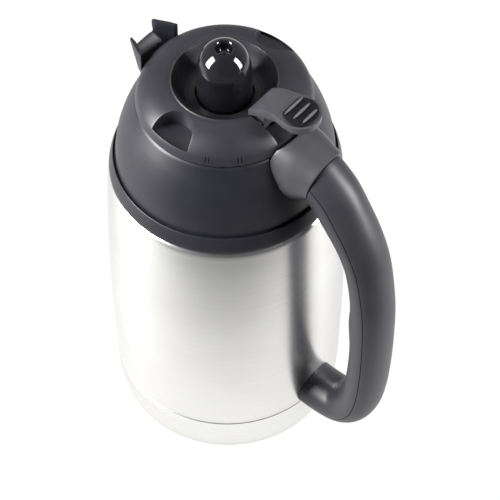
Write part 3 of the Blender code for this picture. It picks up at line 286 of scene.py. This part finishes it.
def eased(points, parts):
    """A smooth run through the points, with this many parts between each two."""
    knots = [Vector(point) for point in points]
    knots = [knots[0] * 2 - knots[1]] + knots + [knots[-1] * 2 - knots[-2]]
    run = []
    for before, start, end, after in zip(knots, knots[1:], knots[2:], knots[3:]):
        at_start = (start - before).length ** 0.5
        at_end = at_start + (end - start).length ** 0.5
        at_after = at_end + (after - end).length ** 0.5
        for part in range(parts):
            now = at_start + (at_end - at_start) * part / parts
            first = before.lerp(start, now / at_start)
            middle = start.lerp(end, (now - at_start) / (at_end - at_start))
            last = end.lerp(after, (now - at_end) / (at_after - at_end))
            early = first.lerp(middle, now / at_end)
            late = middle.lerp(last, (now - at_start) / (at_after - at_start))
            run.append(tuple(early.lerp(late, (now - at_start) / (at_end - at_start))))
    run.append(tuple(knots[-2]))
    return run


def edit(piece):
    """Go into edit mode with all of the piece selected."""
    alone(piece)
    bpy.ops.object.mode_set(mode="EDIT")
    bpy.ops.mesh.select_mode(type="VERT")
    bpy.ops.mesh.select_all(action="SELECT")


def close_up(piece, merge=0.000004):
    """Close seams and poles, and turn the faces outwards."""
    edit(piece)
    bpy.ops.mesh.remove_doubles(threshold=merge)
    bpy.ops.mesh.normals_make_consistent(inside=False)
    bpy.ops.object.mode_set(mode="OBJECT")


def apply_place():
    """Move what is selected to the origin, with its place, turn and size in its mesh."""
    bpy.ops.object.transform_apply(location=True, rotation=True, scale=True)


def turned(name, outline, around):
    """Draw a ring up through (radius, height) points round the axis."""
    alone()
    radius, height = outline[0]
    bpy.ops.mesh.primitive_circle_add(vertices=around, radius=radius, fill_type="NOTHING",
                                      location=(0, 0, height))
    piece = bpy.context.object
    piece.name = name
    apply_place()
    edit(piece)
    for next_radius, next_height in outline[1:]:
        bpy.ops.mesh.extrude_region_move(TRANSFORM_OT_translate={"value": (0, 0, next_height - height)})
        grow = next_radius / radius
        bpy.ops.transform.resize(value=(grow, grow, 1), center_override=(0, 0, next_height))
        radius, height = next_radius, next_height
    close_up(piece)
    return piece


def closed(outline):
    """The outline, back to where it starts."""
    return outline + [outline[0]]


def drawn(name, stations, around, split=None, keep_outer=True, corners=()):
    """Draw a face along stations of (x, z, lean, width, depth), where lean is the run's angle above +X.

    The face is an oval, or a rectangle when it goes round in four. The rectangle's upper and lower corners
    can be rounded. With a split, only the part outside or inside that share of its depth is drawn.
    """
    alone()
    x, z, lean, width, depth = stations[0]
    if around == 4:
        bpy.ops.mesh.primitive_plane_add(size=1, location=(x, 0, z), rotation=(0, math.pi / 2, 0))
    else:
        bpy.ops.mesh.primitive_circle_add(vertices=around, radius=0.5, fill_type="NGON", location=(x, 0, z),
                                          rotation=(0, math.pi / 2, 0))
    piece = bpy.context.object
    piece.name = name
    apply_place()
    edit(piece)
    for offset, profile, upper in corners:
        bpy.ops.object.mode_set(mode="OBJECT")
        for vertex in piece.data.vertices:
            vertex.select = (vertex.co.z > z) == upper
        for line in list(piece.data.edges) + list(piece.data.polygons):
            line.select = False
        bpy.ops.object.mode_set(mode="EDIT")
        bpy.ops.mesh.bevel(offset=offset, segments=9, profile=profile, affect="VERTICES")
    bpy.ops.mesh.select_all(action="SELECT")
    bpy.ops.transform.resize(value=(1, width, depth), center_override=(x, 0, z))
    if split is not None:
        bpy.ops.mesh.bisect(plane_co=(x, 0, z + split * depth), plane_no=(0, 0, 1), use_fill=True,
                            clear_inner=keep_outer, clear_outer=not keep_outer)
        bpy.ops.mesh.select_all(action="SELECT")
    lean_to(lean, 0.0, (x, 0, z))
    bpy.ops.mesh.select_mode(type="FACE")
    bpy.ops.mesh.select_all(action="SELECT")
    for next_x, next_z, next_lean, next_width, next_depth in stations[1:]:
        bpy.ops.mesh.extrude_region_move(TRANSFORM_OT_translate={"value": (next_x - x, 0, next_z - z)})
        centre = (next_x, 0, next_z)
        lean_to(next_lean, lean, centre)
        thicker = next_depth / depth
        bpy.ops.transform.resize(value=(thicker, next_width / width, thicker), center_override=centre)
        x, z, lean, width, depth = next_x, next_z, next_lean, next_width, next_depth
    close_up(piece)
    return piece


def lean_to(lean, lean_now, centre):
    """Turn what is selected about Y, from one lean to the next."""
    if abs(lean - lean_now) > 0.00001:
        bpy.ops.transform.rotate(value=lean - lean_now, orient_axis="Y", center_override=centre)


def stations_along(path, first, settle=6):
    """Stations for a path of (x, z, width, depth).

    They lean along the run, once the first lean has settled over a few stations.
    """
    made = []
    for index, (x, z, width, depth) in enumerate(path):
        before = path[max(index - 1, 0)]
        after = path[min(index + 1, len(path) - 1)]
        run = math.atan2(after[1] - before[1], after[0] - before[0])
        made.append((x, z, first + (run - first) * min(index / settle, 1), width, depth))
    return made


def shape(piece, kind, **settings):
    """Add a modifier and apply it."""
    alone(piece)
    step = piece.modifiers.new(kind.lower(), kind)
    for key, value in settings.items():
        setattr(step, key, value)
    bpy.ops.object.modifier_apply(modifier=step.name)


def cut(piece, cutter, operation="DIFFERENCE"):
    """Cut a solid out of the piece, or join it to the piece, and remove that solid."""
    shape(piece, "BOOLEAN", operation=operation, object=cutter, solver="EXACT")
    bpy.data.objects.remove(cutter, do_unlink=True)


def smooth(piece, below=SMOOTH_BELOW):
    """Shade the piece smooth, but for its sharp edges."""
    alone(piece)
    bpy.ops.object.shade_smooth_by_angle(angle=math.radians(below))


def soften(piece, width, segments=3, angle=38, merge=0.0):
    """Round the sharp edges over, and shade the rest smooth."""
    if merge:
        close_up(piece, merge)
    shape(piece, "BEVEL", width=width, segments=segments, limit_method="ANGLE",
          angle_limit=math.radians(angle), use_clamp_overlap=True)
    smooth(piece)


def upright(name, centre, half_length, half_width, base, top, around=64):
    """An upright oval solid, as a start or a cutter."""
    alone()
    bpy.ops.mesh.primitive_cylinder_add(vertices=around, radius=1, depth=top - base,
                                        location=(centre[0], centre[1], (base + top) / 2))
    piece = bpy.context.object
    piece.name = name
    piece.scale = (half_length, half_width, 1)
    apply_place()
    return piece


def box(name, low, high):
    """A box between two corners."""
    alone()
    centre = [(a + b) / 2 for a, b in zip(low, high)]
    bpy.ops.mesh.primitive_cube_add(size=1, location=centre)
    piece = bpy.context.object
    piece.name = name
    piece.scale = [b - a for a, b in zip(low, high)]
    apply_place()
    return piece


def done(piece, material, body, slot, *nodes):
    """Give a piece its finish and its body, and let it stand for the nodes named."""
    piece.data.materials.clear()
    piece.data.materials.append(material)
    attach(piece, body)
    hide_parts(*nodes)


def dress(material, *names):
    """Give a finish to pieces that keep their own shape."""
    for name in names:
        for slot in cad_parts[name].material_slots:
            slot.material = material


# Steel vessel: outlines as (radius, height), from the lip over the foot up to the neck

STEEL_SHEET = 0.0008
STEEL_LIP = [(0.0668, 0.0314), (0.0674, 0.0314), (0.0677, 0.0322)]
STEEL_SIDE = [(0.0677, 0.0322), (0.0684, 0.0698), (0.06815, 0.1207), (0.06683, 0.1634), (0.0659, 0.1810),
              (0.0649, 0.1935)]
STEEL_ROLL = [(0.0649, 0.1935), (0.0646, 0.1950), (0.0638, 0.1962), (0.0626, 0.1968), (0.0602, 0.1970)]
BAND_REST = [(0.0602, 0.2030)]
NECK_SWEEP = [(0.0594, 0.2040), (0.0568, 0.2061), (0.0521, 0.2178), (0.0452, 0.2273), (0.0391, 0.2320),
              (0.0365, 0.2340)]
NECK_RIM = [(0.0365, 0.2360)]

FOOT_HOLE = [(0.0031, 0.0021)]
FOOT_SIDE = [(0.0574, 0.0021), (0.0576, 0.0014), (0.0583, 0.0007), (0.0598, 0.0006), (0.0624, 0.0011),
             (0.0648, 0.0028), (0.0661, 0.0054), (0.0668, 0.0090), (0.0675, 0.0200), (0.0677, 0.0296),
             (0.0674, 0.0309), (0.0666, 0.0312)]

PAD_OUTLINE = [(POLE, 0.0), (0.0440, 0.0), (0.0446, 0.0005), (0.0464, 0.0005), (0.0470, 0.0), (0.0568, 0.0),
               (0.0573, 0.0005), (0.0573, 0.0018), (POLE, 0.0018)]


def pressed(name, outline):
    """A round piece of steel sheet, with its thickness inward."""
    sheet = turned(name, outline, LARGE_ROUND)
    shape(sheet, "SOLIDIFY", thickness=STEEL_SHEET, offset=-1)
    smooth(sheet)
    return sheet


def make_vessel():
    side = eased(STEEL_LIP, parts=3) + eased(STEEL_SIDE, parts=9)[1:] + eased(STEEL_ROLL, parts=5)[1:]
    body = pressed("steel_body", side + BAND_REST + eased(NECK_SWEEP, parts=4) + NECK_RIM)
    done(body, STEEL, "root", "brushed_steel", "outer_shell")

    cup = pressed("steel_foot", FOOT_HOLE + eased(FOOT_SIDE, parts=5))
    done(cup, STEEL_FOOT, "root", "brushed_steel", "bottom_cup")

    pad = turned("foot_pad", PAD_OUTLINE, SMALL_ROUND)
    soften(pad, width=0.0002, segments=2)
    done(pad, RUBBER, "root", "black_rubber", "base_pad")


# Band and shoulder

BAND_OUTLINE = [(0.0605, 0.1973), (0.0636, 0.1973), (0.0640, 0.1975), (0.0643, 0.1981), (0.0643, 0.1990),
                (0.0636, 0.2022), (0.0624, 0.2062), (0.0620, 0.2076), (0.0616, 0.2077), (0.0613, 0.2064),
                (0.0600, 0.2064), (0.0598, 0.2080), (0.0574, 0.2080), (0.0574, 0.2064), (0.0605, 0.2046)]

SHOULDER_DOME = [(0.0604, 0.2083), (0.05976, 0.21466), (0.05848, 0.22229), (0.05592, 0.23162),
                 (0.05259, 0.24052), (0.04952, 0.24688), (0.0480, 0.2498)]
SHOULDER_RIM = [(0.0471, 0.2506), (0.0398, 0.2506), (0.0398, 0.2403), (0.0420, 0.2403), (0.0420, 0.2478)]
SHOULDER_INSIDE = [(0.0455, 0.2478), (0.0472, 0.2462), (0.0504, 0.2393), (0.0537, 0.2305), (0.0562, 0.2214),
                   (0.0575, 0.2142), (0.0582, 0.2083)]

LID_SEAT_RADIUS = 0.0482
LID_SEAT_FLOOR = 0.2508
MOUTH_RADIUS = 0.0395
MOUTH_FLOOR = 0.2380
SHOULDER_CUT_TOP = 0.2700

# Spout, from the lid to the lip: how far out, half its outer width, and the trough's floor
SPOUT_STATIONS = [(0.0380, 0.0182, 0.2432), (0.0440, 0.0158, 0.2456), (0.0500, 0.0134, 0.2488),
                  (0.0545, 0.0112, 0.2545), (0.0585, 0.0093, 0.2598)]
SPOUT_TOP = 0.2640
SPOUT_WALL = 0.0022
SPOUT_ROUNDING = 0.0042
SPOUT_OVERRUN = 0.0040

# The spout's edges that are rounded lie this far below its top, and run out by at least this much
ROUNDED_BELOW = 0.0020
ROUNDED_RUN = 0.0010


def make_band():
    band = turned("shoulder_band", closed(BAND_OUTLINE), LARGE_ROUND)
    soften(band, width=0.00025, segments=2, angle=30)
    done(band, BLACK, "root", "black_plastic", "collar_ring")


def spout_form(name, grow=0.0, drop=0.0, overrun=0.0):
    """The spout's trough as a solid: a plate drawn outwards and narrowed, with its bottom edges rounded."""
    inner, outer = SPOUT_STATIONS[0], SPOUT_STATIONS[-1]
    top = SPOUT_TOP + overrun
    alone()
    reach, half, floor = inner[0] - overrun, inner[1], inner[2]
    bpy.ops.mesh.primitive_plane_add(size=1, location=(-reach, 0, (top + floor - drop) / 2),
                                     rotation=(0, -math.pi / 2, 0))
    form = bpy.context.object
    form.name = name
    form.scale = (top - floor + drop, 2 * (half + grow), 1)
    apply_place()
    edit(form)
    bpy.ops.mesh.select_mode(type="FACE")
    bpy.ops.mesh.select_all(action="SELECT")
    lip = (outer[0] + overrun, outer[1], outer[2])
    for next_reach, next_half, next_floor in SPOUT_STATIONS[1:-1] + [lip]:
        bpy.ops.mesh.extrude_region_move(TRANSFORM_OT_translate={"value": (reach - next_reach, 0, 0)})
        wider = (next_half + grow) / (half + grow)
        taller = (top - next_floor + drop) / (top - floor + drop)
        bpy.ops.transform.resize(value=(1, wider, taller), center_override=(-next_reach, 0, top))
        reach, half, floor = next_reach, next_half, next_floor
    close_up(form)
    edit(form)
    bpy.ops.mesh.select_mode(type="EDGE")
    bpy.ops.mesh.select_all(action="DESELECT")
    bpy.ops.object.mode_set(mode="OBJECT")
    for edge in form.data.edges:
        start, end = [form.data.vertices[index].co for index in edge.vertices]
        low = max(start.z, end.z) < top - ROUNDED_BELOW
        runs_out = abs(start.x - end.x) > ROUNDED_RUN
        edge.select = low and runs_out
    bpy.ops.object.mode_set(mode="EDIT")
    bpy.ops.mesh.bevel(offset=SPOUT_ROUNDING + grow, segments=5, affect="EDGES", clamp_overlap=True)
    bpy.ops.object.mode_set(mode="OBJECT")
    return form


def make_shoulder():
    outline = eased(SHOULDER_DOME, parts=6) + SHOULDER_RIM + eased(SHOULDER_INSIDE, parts=4)
    cover = turned("shoulder", closed(outline), MIDDLE_ROUND)
    cut(cover, spout_form("spout_outside", drop=SPOUT_WALL), "UNION")
    cut(cover, spout_form("spout_inside", grow=-SPOUT_WALL, overrun=SPOUT_OVERRUN))
    openings = (("lid_seat", LID_SEAT_RADIUS, LID_SEAT_FLOOR), ("mouth", MOUTH_RADIUS, MOUTH_FLOOR))
    for name, radius, floor in openings:
        cut(cover, upright(name, (0, 0), radius, radius, floor, SHOULDER_CUT_TOP, MIDDLE_ROUND))
    soften(cover, width=0.00045, angle=35, merge=0.00025)
    done(cover, BLACK, "root", "black_plastic", "shoulder_cover")


# Lid

LID_SKIRT = [(0.0466, 0.2510), (0.0467, 0.2518)]
LID_DOME = [(0.0478, 0.2521), (0.0475, 0.2536), (0.04606, 0.2576), (0.04203, 0.26205), (0.03685, 0.26497),
            (0.03147, 0.26636), (0.0288, 0.2665), (0.0285, 0.26685)]
LID_DISH = [(0.0285, 0.26685), (0.0281, 0.2669), (0.02765, 0.26608), (0.02502, 0.26083), (0.02182, 0.25726),
            (0.0190, 0.2560)]
LID_UNDERSIDE = [(0.0160, 0.2560), (0.0160, 0.2536), (0.0454, 0.2536), (0.0454, 0.2510)]

# Finger recesses at both sides, each an oval that keeps a thin wall to the lid's edge
SCOOP_REACH = 0.0472
SCOOP_HALF_LENGTH = 0.0124
SCOOP_HALF_WIDTH = 0.0164
SCOOP_FLOOR, SCOOP_TOP = 0.2556, 0.2720
LIMIT_RADIUS = 0.0462
LIMIT_FLOOR, LIMIT_TOP = 0.2500, 0.2760

# Ways through the lid for the lever's arm, nose and web: low corner and high corner
LEVER_WAYS = {
    "channel": ((0.0237, -0.0105, 0.2570), (0.0530, 0.0105, 0.2720)),
    "nose_way": ((0.0140, -0.0035, 0.2500), (0.0345, 0.0035, 0.2553)),
    "web_way": ((0.0239, -0.0034, 0.2540), (0.0344, 0.0034, 0.2625)),
}

# Two pairs of short grooves in the skirt, toward the handle: bearings and lean in radians
GROOVE_BEARINGS = (-1.082, -1.044, -0.716, -0.678)
GROOVE_REACH = 0.0467
GROOVE_HEIGHT = 0.2557
GROOVE_LEAN = -0.345
GROOVE_SIZE = (0.0006, 0.0005, 0.0034)


def make_lid():
    top = LID_SKIRT + eased(LID_DOME, parts=6) + eased(LID_DISH, parts=6)[1:]
    lid = turned("lid", closed(top + LID_UNDERSIDE), LARGE_ROUND)
    for side in (-1, 1):
        scoop = upright("scoop", (0, side * SCOOP_REACH), SCOOP_HALF_LENGTH, SCOOP_HALF_WIDTH,
                        SCOOP_FLOOR, SCOOP_TOP)
        limit = upright("scoop_limit", (0, 0), LIMIT_RADIUS, LIMIT_RADIUS, LIMIT_FLOOR, LIMIT_TOP,
                        MIDDLE_ROUND)
        cut(scoop, limit, "INTERSECT")
        cut(lid, scoop)
    for name, (low, high) in LEVER_WAYS.items():
        cut(lid, box(name, low, high))
    soften(lid, width=0.0005, merge=0.00025)
    for bearing in GROOVE_BEARINGS:
        alone()
        place = (GROOVE_REACH * math.cos(bearing), GROOVE_REACH * math.sin(bearing), GROOVE_HEIGHT)
        bpy.ops.mesh.primitive_cube_add(size=1, location=place, rotation=(0, GROOVE_LEAN, bearing),
                                        scale=GROOVE_SIZE)
        cut(lid, bpy.context.object)
    smooth(lid)
    done(lid, LID_BLACK, "lid", "black_plastic", "lid_cap")


# Knob: outside from the foot to the crown, the dimple in its crown, and its hollow from the crown down

KNOB_SIDE = [(0.0147, 0.2530), (0.0150, 0.2560), (0.0150, 0.2625), (0.01485, 0.2690), (0.01455, 0.2743),
             (0.01395, 0.2796), (0.01275, 0.2838), (0.0108, 0.2872), (0.0081, 0.2898), (0.0060, 0.2910),
             (0.0051, 0.2913)]
KNOB_DIMPLE = [(0.0045, 0.2909), (0.0042, 0.2898), (0.0038, 0.2876), (0.0026, 0.2863), (POLE, 0.2860)]
KNOB_HOLLOW = [(POLE, 0.2835), (0.0070, 0.2830), (0.0110, 0.2790), (0.0124, 0.2700), (0.0125, 0.2600),
               (0.0125, 0.2530)]


def make_knob():
    outline = eased(KNOB_SIDE, parts=6) + eased(KNOB_DIMPLE, parts=4) + KNOB_HOLLOW
    knob = turned("knob_dome", closed(outline), SMALL_ROUND)
    smooth(knob, below=50)
    done(knob, KNOB_BLACK, "valve", "gloss_knob", "knob")


# Lever: its arm as (x, z, width, depth), its round end, and the boxes that join it below

LEVER_ARM = [(0.0243, 0.2663, 0.0188, 0.0050), (0.0262, 0.2680, 0.0190, 0.0052),
             (0.0292, 0.2700, 0.0190, 0.0054), (0.0320, 0.2715, 0.0190, 0.0056),
             (0.0345, 0.2728, 0.0190, 0.0056), (0.0375, 0.2740, 0.0190, 0.0054),
             (0.0405, 0.2749, 0.0192, 0.0053), (0.0430, 0.2759, 0.0199, 0.0042),
             (0.0455, 0.2763, 0.0212, 0.0040), (0.0485, 0.2764, 0.0222, 0.0041)]
PAD_MIDDLE = 0.0515
END_LENGTH = 0.0108
END_WIDTH = 0.0224
END_HEIGHT = 0.27645
END_DEPTH = 0.0042
END_NARROWEST_SHARE = 0.12

LEVER_BOXES = {
    "lever_hub": ((0.0277, -0.0085, 0.2594), (0.0340, 0.0085, 0.2700)),
    "lever_nose": ((0.0130, -0.0030, 0.2508), (0.0300, 0.0030, 0.2524)),
    "lever_web": ((0.0264, -0.0029, 0.2510), (0.0320, 0.0029, 0.2650)),
}

# Thumb pad: an oval with a straight inner edge and three ribs across it, each shorter than the last
PAD_HALF_LENGTH = 0.0094
PAD_HALF_WIDTH = 0.0098
PAD_BASE, PAD_TOP = 0.2779, 0.2797
PAD_EDGE = ((0.0300, -0.0200, 0.2700), (0.0446, 0.0200, 0.2850))
RIB_START = 0.0467
RIB_PITCH = 0.0054
RIB_HALF_THICKNESS = 0.0007
RIB_HALF_WIDTH = 0.0074
RIB_SHORTER = 0.0008
RIB_BASE = 0.2785


def make_lever():
    stations = [(x, z, 0, width, depth) for x, z, width, depth in eased(LEVER_ARM, parts=3)]
    for degrees in range(8, 88, 8):
        turn = math.radians(degrees)
        width = END_WIDTH * max(math.cos(turn), END_NARROWEST_SHARE)
        stations.append((PAD_MIDDLE + END_LENGTH * math.sin(turn), END_HEIGHT, 0, width, END_DEPTH))
    arm = drawn("lever_arm", stations, around=4)
    for name, (low, high) in LEVER_BOXES.items():
        cut(arm, box(name, low, high), "UNION")
    soften(arm, width=0.0006, angle=35, merge=0.0001)
    done(arm, SATIN_GREY, "lever", "black_plastic", "thumb_lever")

    pad = upright("thumb_pad", (PAD_MIDDLE, 0), PAD_HALF_LENGTH, PAD_HALF_WIDTH, PAD_BASE, PAD_TOP,
                  around=72)
    cut(pad, box("pad_edge", *PAD_EDGE))
    soften(pad, width=0.0006, angle=40)
    for index in range(3):
        rib = upright("rib", (RIB_START + index * RIB_PITCH, 0), RIB_HALF_THICKNESS,
                      RIB_HALF_WIDTH - RIB_SHORTER * index, RIB_BASE, RIB_TOP, around=32)
        soften(rib, width=0.0004, segments=2, angle=40)
        cut(pad, rib, "UNION")
    smooth(pad)
    done(pad, RUBBER, "lever", "black_rubber", "lever_pad")


# Bracket: (x, z, width, depth, lean) from inside the dome out to the seam with the grip

BRACKET_LINE = [(0.0398, 0.2345, 0.0374, 0.0494, 0.0), (0.0480, 0.2348, 0.0368, 0.0480, 0.0),
                (0.0545, 0.2352, 0.0354, 0.0458, -0.01), (0.0600, 0.2359, 0.0326, 0.0412, -0.05),
                (0.0640, 0.2364, 0.0300, 0.0370, -0.12), (0.0677, 0.2366, 0.0284, 0.0344, -0.2)]
SEAM_LEAN = -0.2

# Rounding of its corners: share of the face, how full the curve is, and whether for the upper corners
BRACKET_CORNERS = ((0.36, 0.5, True), (0.47, 0.4, False))

# Room kept under the bracket and the handle's ends, and how far up the solid that keeps it goes
BRACKET_CLEARANCE = 0.0003
BRACKET_SEAT_TOP = 0.2800
HANDLE_CLEARANCE = 0.0002
HANDLE_SEAT_TOP = 0.2600

# Where the vessel's outside passes behind the band, and over the lid's edge
SEAT_START = [(POLE, 0.0200)]
SEAT_BAND = [(0.0657, 0.1962), (0.0657, 0.2083)]
SEAT_LID_EDGE = [(0.0482, 0.2510), (0.0482, 0.2556), (0.0516, 0.2594)]


def vessel_form(name, clearance, top):
    """The vessel's outside as a solid, a little larger, to seat a piece on it."""
    outline = eased(STEEL_SIDE, parts=4) + SEAT_BAND + eased(SHOULDER_DOME, parts=4)
    outline = SEAT_START + [(radius + clearance, height) for radius, height in outline]
    return turned(name, outline + SEAT_LID_EDGE + [(SEAT_LID_EDGE[-1][0], top), (POLE, top)], SMALL_ROUND)


def make_bracket():
    stations = [(x, z, lean, width, depth) for x, z, width, depth, lean in eased(BRACKET_LINE, parts=4)]
    bracket = drawn("bracket", stations, around=4, corners=BRACKET_CORNERS)
    cut(bracket, vessel_form("bracket_seat", BRACKET_CLEARANCE, BRACKET_SEAT_TOP))
    soften(bracket, width=0.0008, angle=40, merge=0.0002)
    done(bracket, SATIN_GREY, "root", "grey_plastic", "handle_bracket")


# Handle: its middle line as (x, z, depth) from the seam to the foot, split along its length into two halves

HANDLE_LINE = [(0.0682, 0.2364, 0.0342), (0.0755, 0.2306, 0.0305), (0.0840, 0.2193, 0.0280),
               (0.0923, 0.2068, 0.0253), (0.0987, 0.1930, 0.0232), (0.1025, 0.1775, 0.0225),
               (0.1059, 0.1510, 0.0225), (0.1066, 0.1227, 0.0225), (0.1061, 0.0964, 0.0225),
               (0.1044, 0.0752, 0.0229), (0.1011, 0.0590, 0.0237), (0.0956, 0.0479, 0.0249),
               (0.0883, 0.0418, 0.0259), (0.0791, 0.0398, 0.0265), (0.0641, 0.0398, 0.0265)]
HANDLE_WIDTH = 0.0280
HANDLE_ROUND = 56
SPLIT_SHARE = 0.14
SPLIT_GAP_SHARE = 0.008

# A small bump on the inner half, between the fingers
BUMP_DEPTH = 0.0030
BUMP_HEIGHT = 0.1400
BUMP_SPREAD = 0.0130


def make_handle():
    line = eased(HANDLE_LINE, parts=5)
    halves = (("grip_outside", True, "handle_grip"), ("grip_inside", False, "handle_inner_cover"))
    for name, outer, node in halves:
        split = SPLIT_SHARE + (SPLIT_GAP_SHARE if outer else -SPLIT_GAP_SHARE)
        path = []
        for x, z, depth in line:
            swell = 0 if outer else BUMP_DEPTH * math.exp(-((z - BUMP_HEIGHT) / BUMP_SPREAD) ** 2)
            path.append((x - split * swell, z, HANDLE_WIDTH, depth + swell))
        stations = stations_along(path, SEAM_LEAN)
        half = drawn(name, stations, around=HANDLE_ROUND, split=split, keep_outer=outer)
        cut(half, vessel_form("handle_seat", HANDLE_CLEARANCE, HANDLE_SEAT_TOP))
        soften(half, width=0.0005, angle=40, merge=0.0001)
        done(half, GRIP_BLACK, "root", "black_plastic", node)


# Camera, light and floor

def aim(thing, place, forward):
    """Put a camera or light at a place, looking along forward with its top up."""
    right = forward.cross(Vector((0, 0, 1))).normalized()
    up = right.cross(forward)
    turn = Matrix((right, up, -forward)).transposed().to_4x4()
    thing.matrix_world = Matrix.Translation(place) @ turn


def make_camera():
    bearing = math.radians(CAMERA_BEARING)
    yaw, pitch = math.radians(LOOK_ASIDE), -CAMERA_RISE - math.radians(LOOK_DOWN)
    flat = CAMERA_DISTANCE * math.cos(CAMERA_RISE)
    place = Vector((flat * math.sin(bearing), -flat * math.cos(bearing),
                    STUDIO_HEIGHT + CAMERA_DISTANCE * math.sin(CAMERA_RISE)))
    ahead = Vector((math.sin(yaw) * math.cos(pitch), math.cos(yaw) * math.cos(pitch), math.sin(pitch)))
    camera = bpy.data.objects.new("camera", bpy.data.cameras.new("camera"))
    bpy.context.scene.collection.objects.link(camera)
    camera.data.sensor_width = SENSOR_WIDTH
    camera.data.lens = SENSOR_WIDTH * FOCAL_PIXELS / PICTURE_PIXELS
    camera.data.clip_start, camera.data.clip_end = 0.05, 30
    aim(camera, place, Matrix.Rotation(bearing, 3, "Z") @ ahead)
    bpy.context.scene.camera = camera


def softbox(name, bearing, rise, distance, size, power):
    """A soft panel aimed at the shoulder from a direction round the carafe."""
    lamp = bpy.data.objects.new(name, bpy.data.lights.new(name, "AREA"))
    bpy.context.scene.collection.objects.link(lamp)
    lamp.data.shape = "RECTANGLE"
    lamp.data.size, lamp.data.size_y = size
    lamp.data.energy = power
    way = toward(bearing, rise)
    aim(lamp, Vector((0, 0, STUDIO_HEIGHT)) + way * distance, -way)


def make_studio():
    alone()
    bpy.ops.mesh.primitive_plane_add(size=FLOOR_SIZE, location=(0, 0, 0))
    floor = bpy.context.object
    floor.name = "floor"
    floor.data.materials.append(glowing_floor("glowing_floor"))
    world = bpy.data.worlds.new("studio")
    bpy.context.scene.world = world
    world.use_nodes = True
    sky = world.node_tree.nodes["Background"]
    sky.inputs["Color"].default_value = (0.97, 0.98, 1.0, 1)
    front = soft_step(world, along(world, "Generated", toward(30, 30)), near=0.1, far=0.85, low=0.32,
                      high=0.1)
    world.node_tree.links.new(front, sky.inputs["Strength"])
    softbox("left_panel", bearing=-78, rise=24, distance=1.2, size=(0.5, 1.0), power=44)
    softbox("right_panel", bearing=74, rise=22, distance=1.2, size=(0.36, 1.0), power=26)
    softbox("back_panel", bearing=180, rise=62, distance=1.3, size=(1.1, 0.6), power=1)
    bpy.context.scene.view_settings.view_transform = "Standard"
    bpy.context.scene.view_settings.look = "None"


make_camera()
make_studio()
make_vessel()
make_band()
make_shoulder()
make_lid()
make_knob()
make_lever()
make_bracket()
make_handle()
dress(PLAIN_STEEL, "inner_flask", "evacuation_seal", "getter_capsule", "lever_pin", "lid_screw_1",
      "lid_screw_2", "lid_screw_3", "valve_stem", "valve_spring", "bracket_screw_1", "bracket_screw_2",
      "foot_plate", "foot_screw")
dress(BLACK, "pour_collar", "stopper_body", "lid_liner", "valve_disc")
dress(SILICONE, "neck_gasket", "stopper_gasket", "valve_seal")
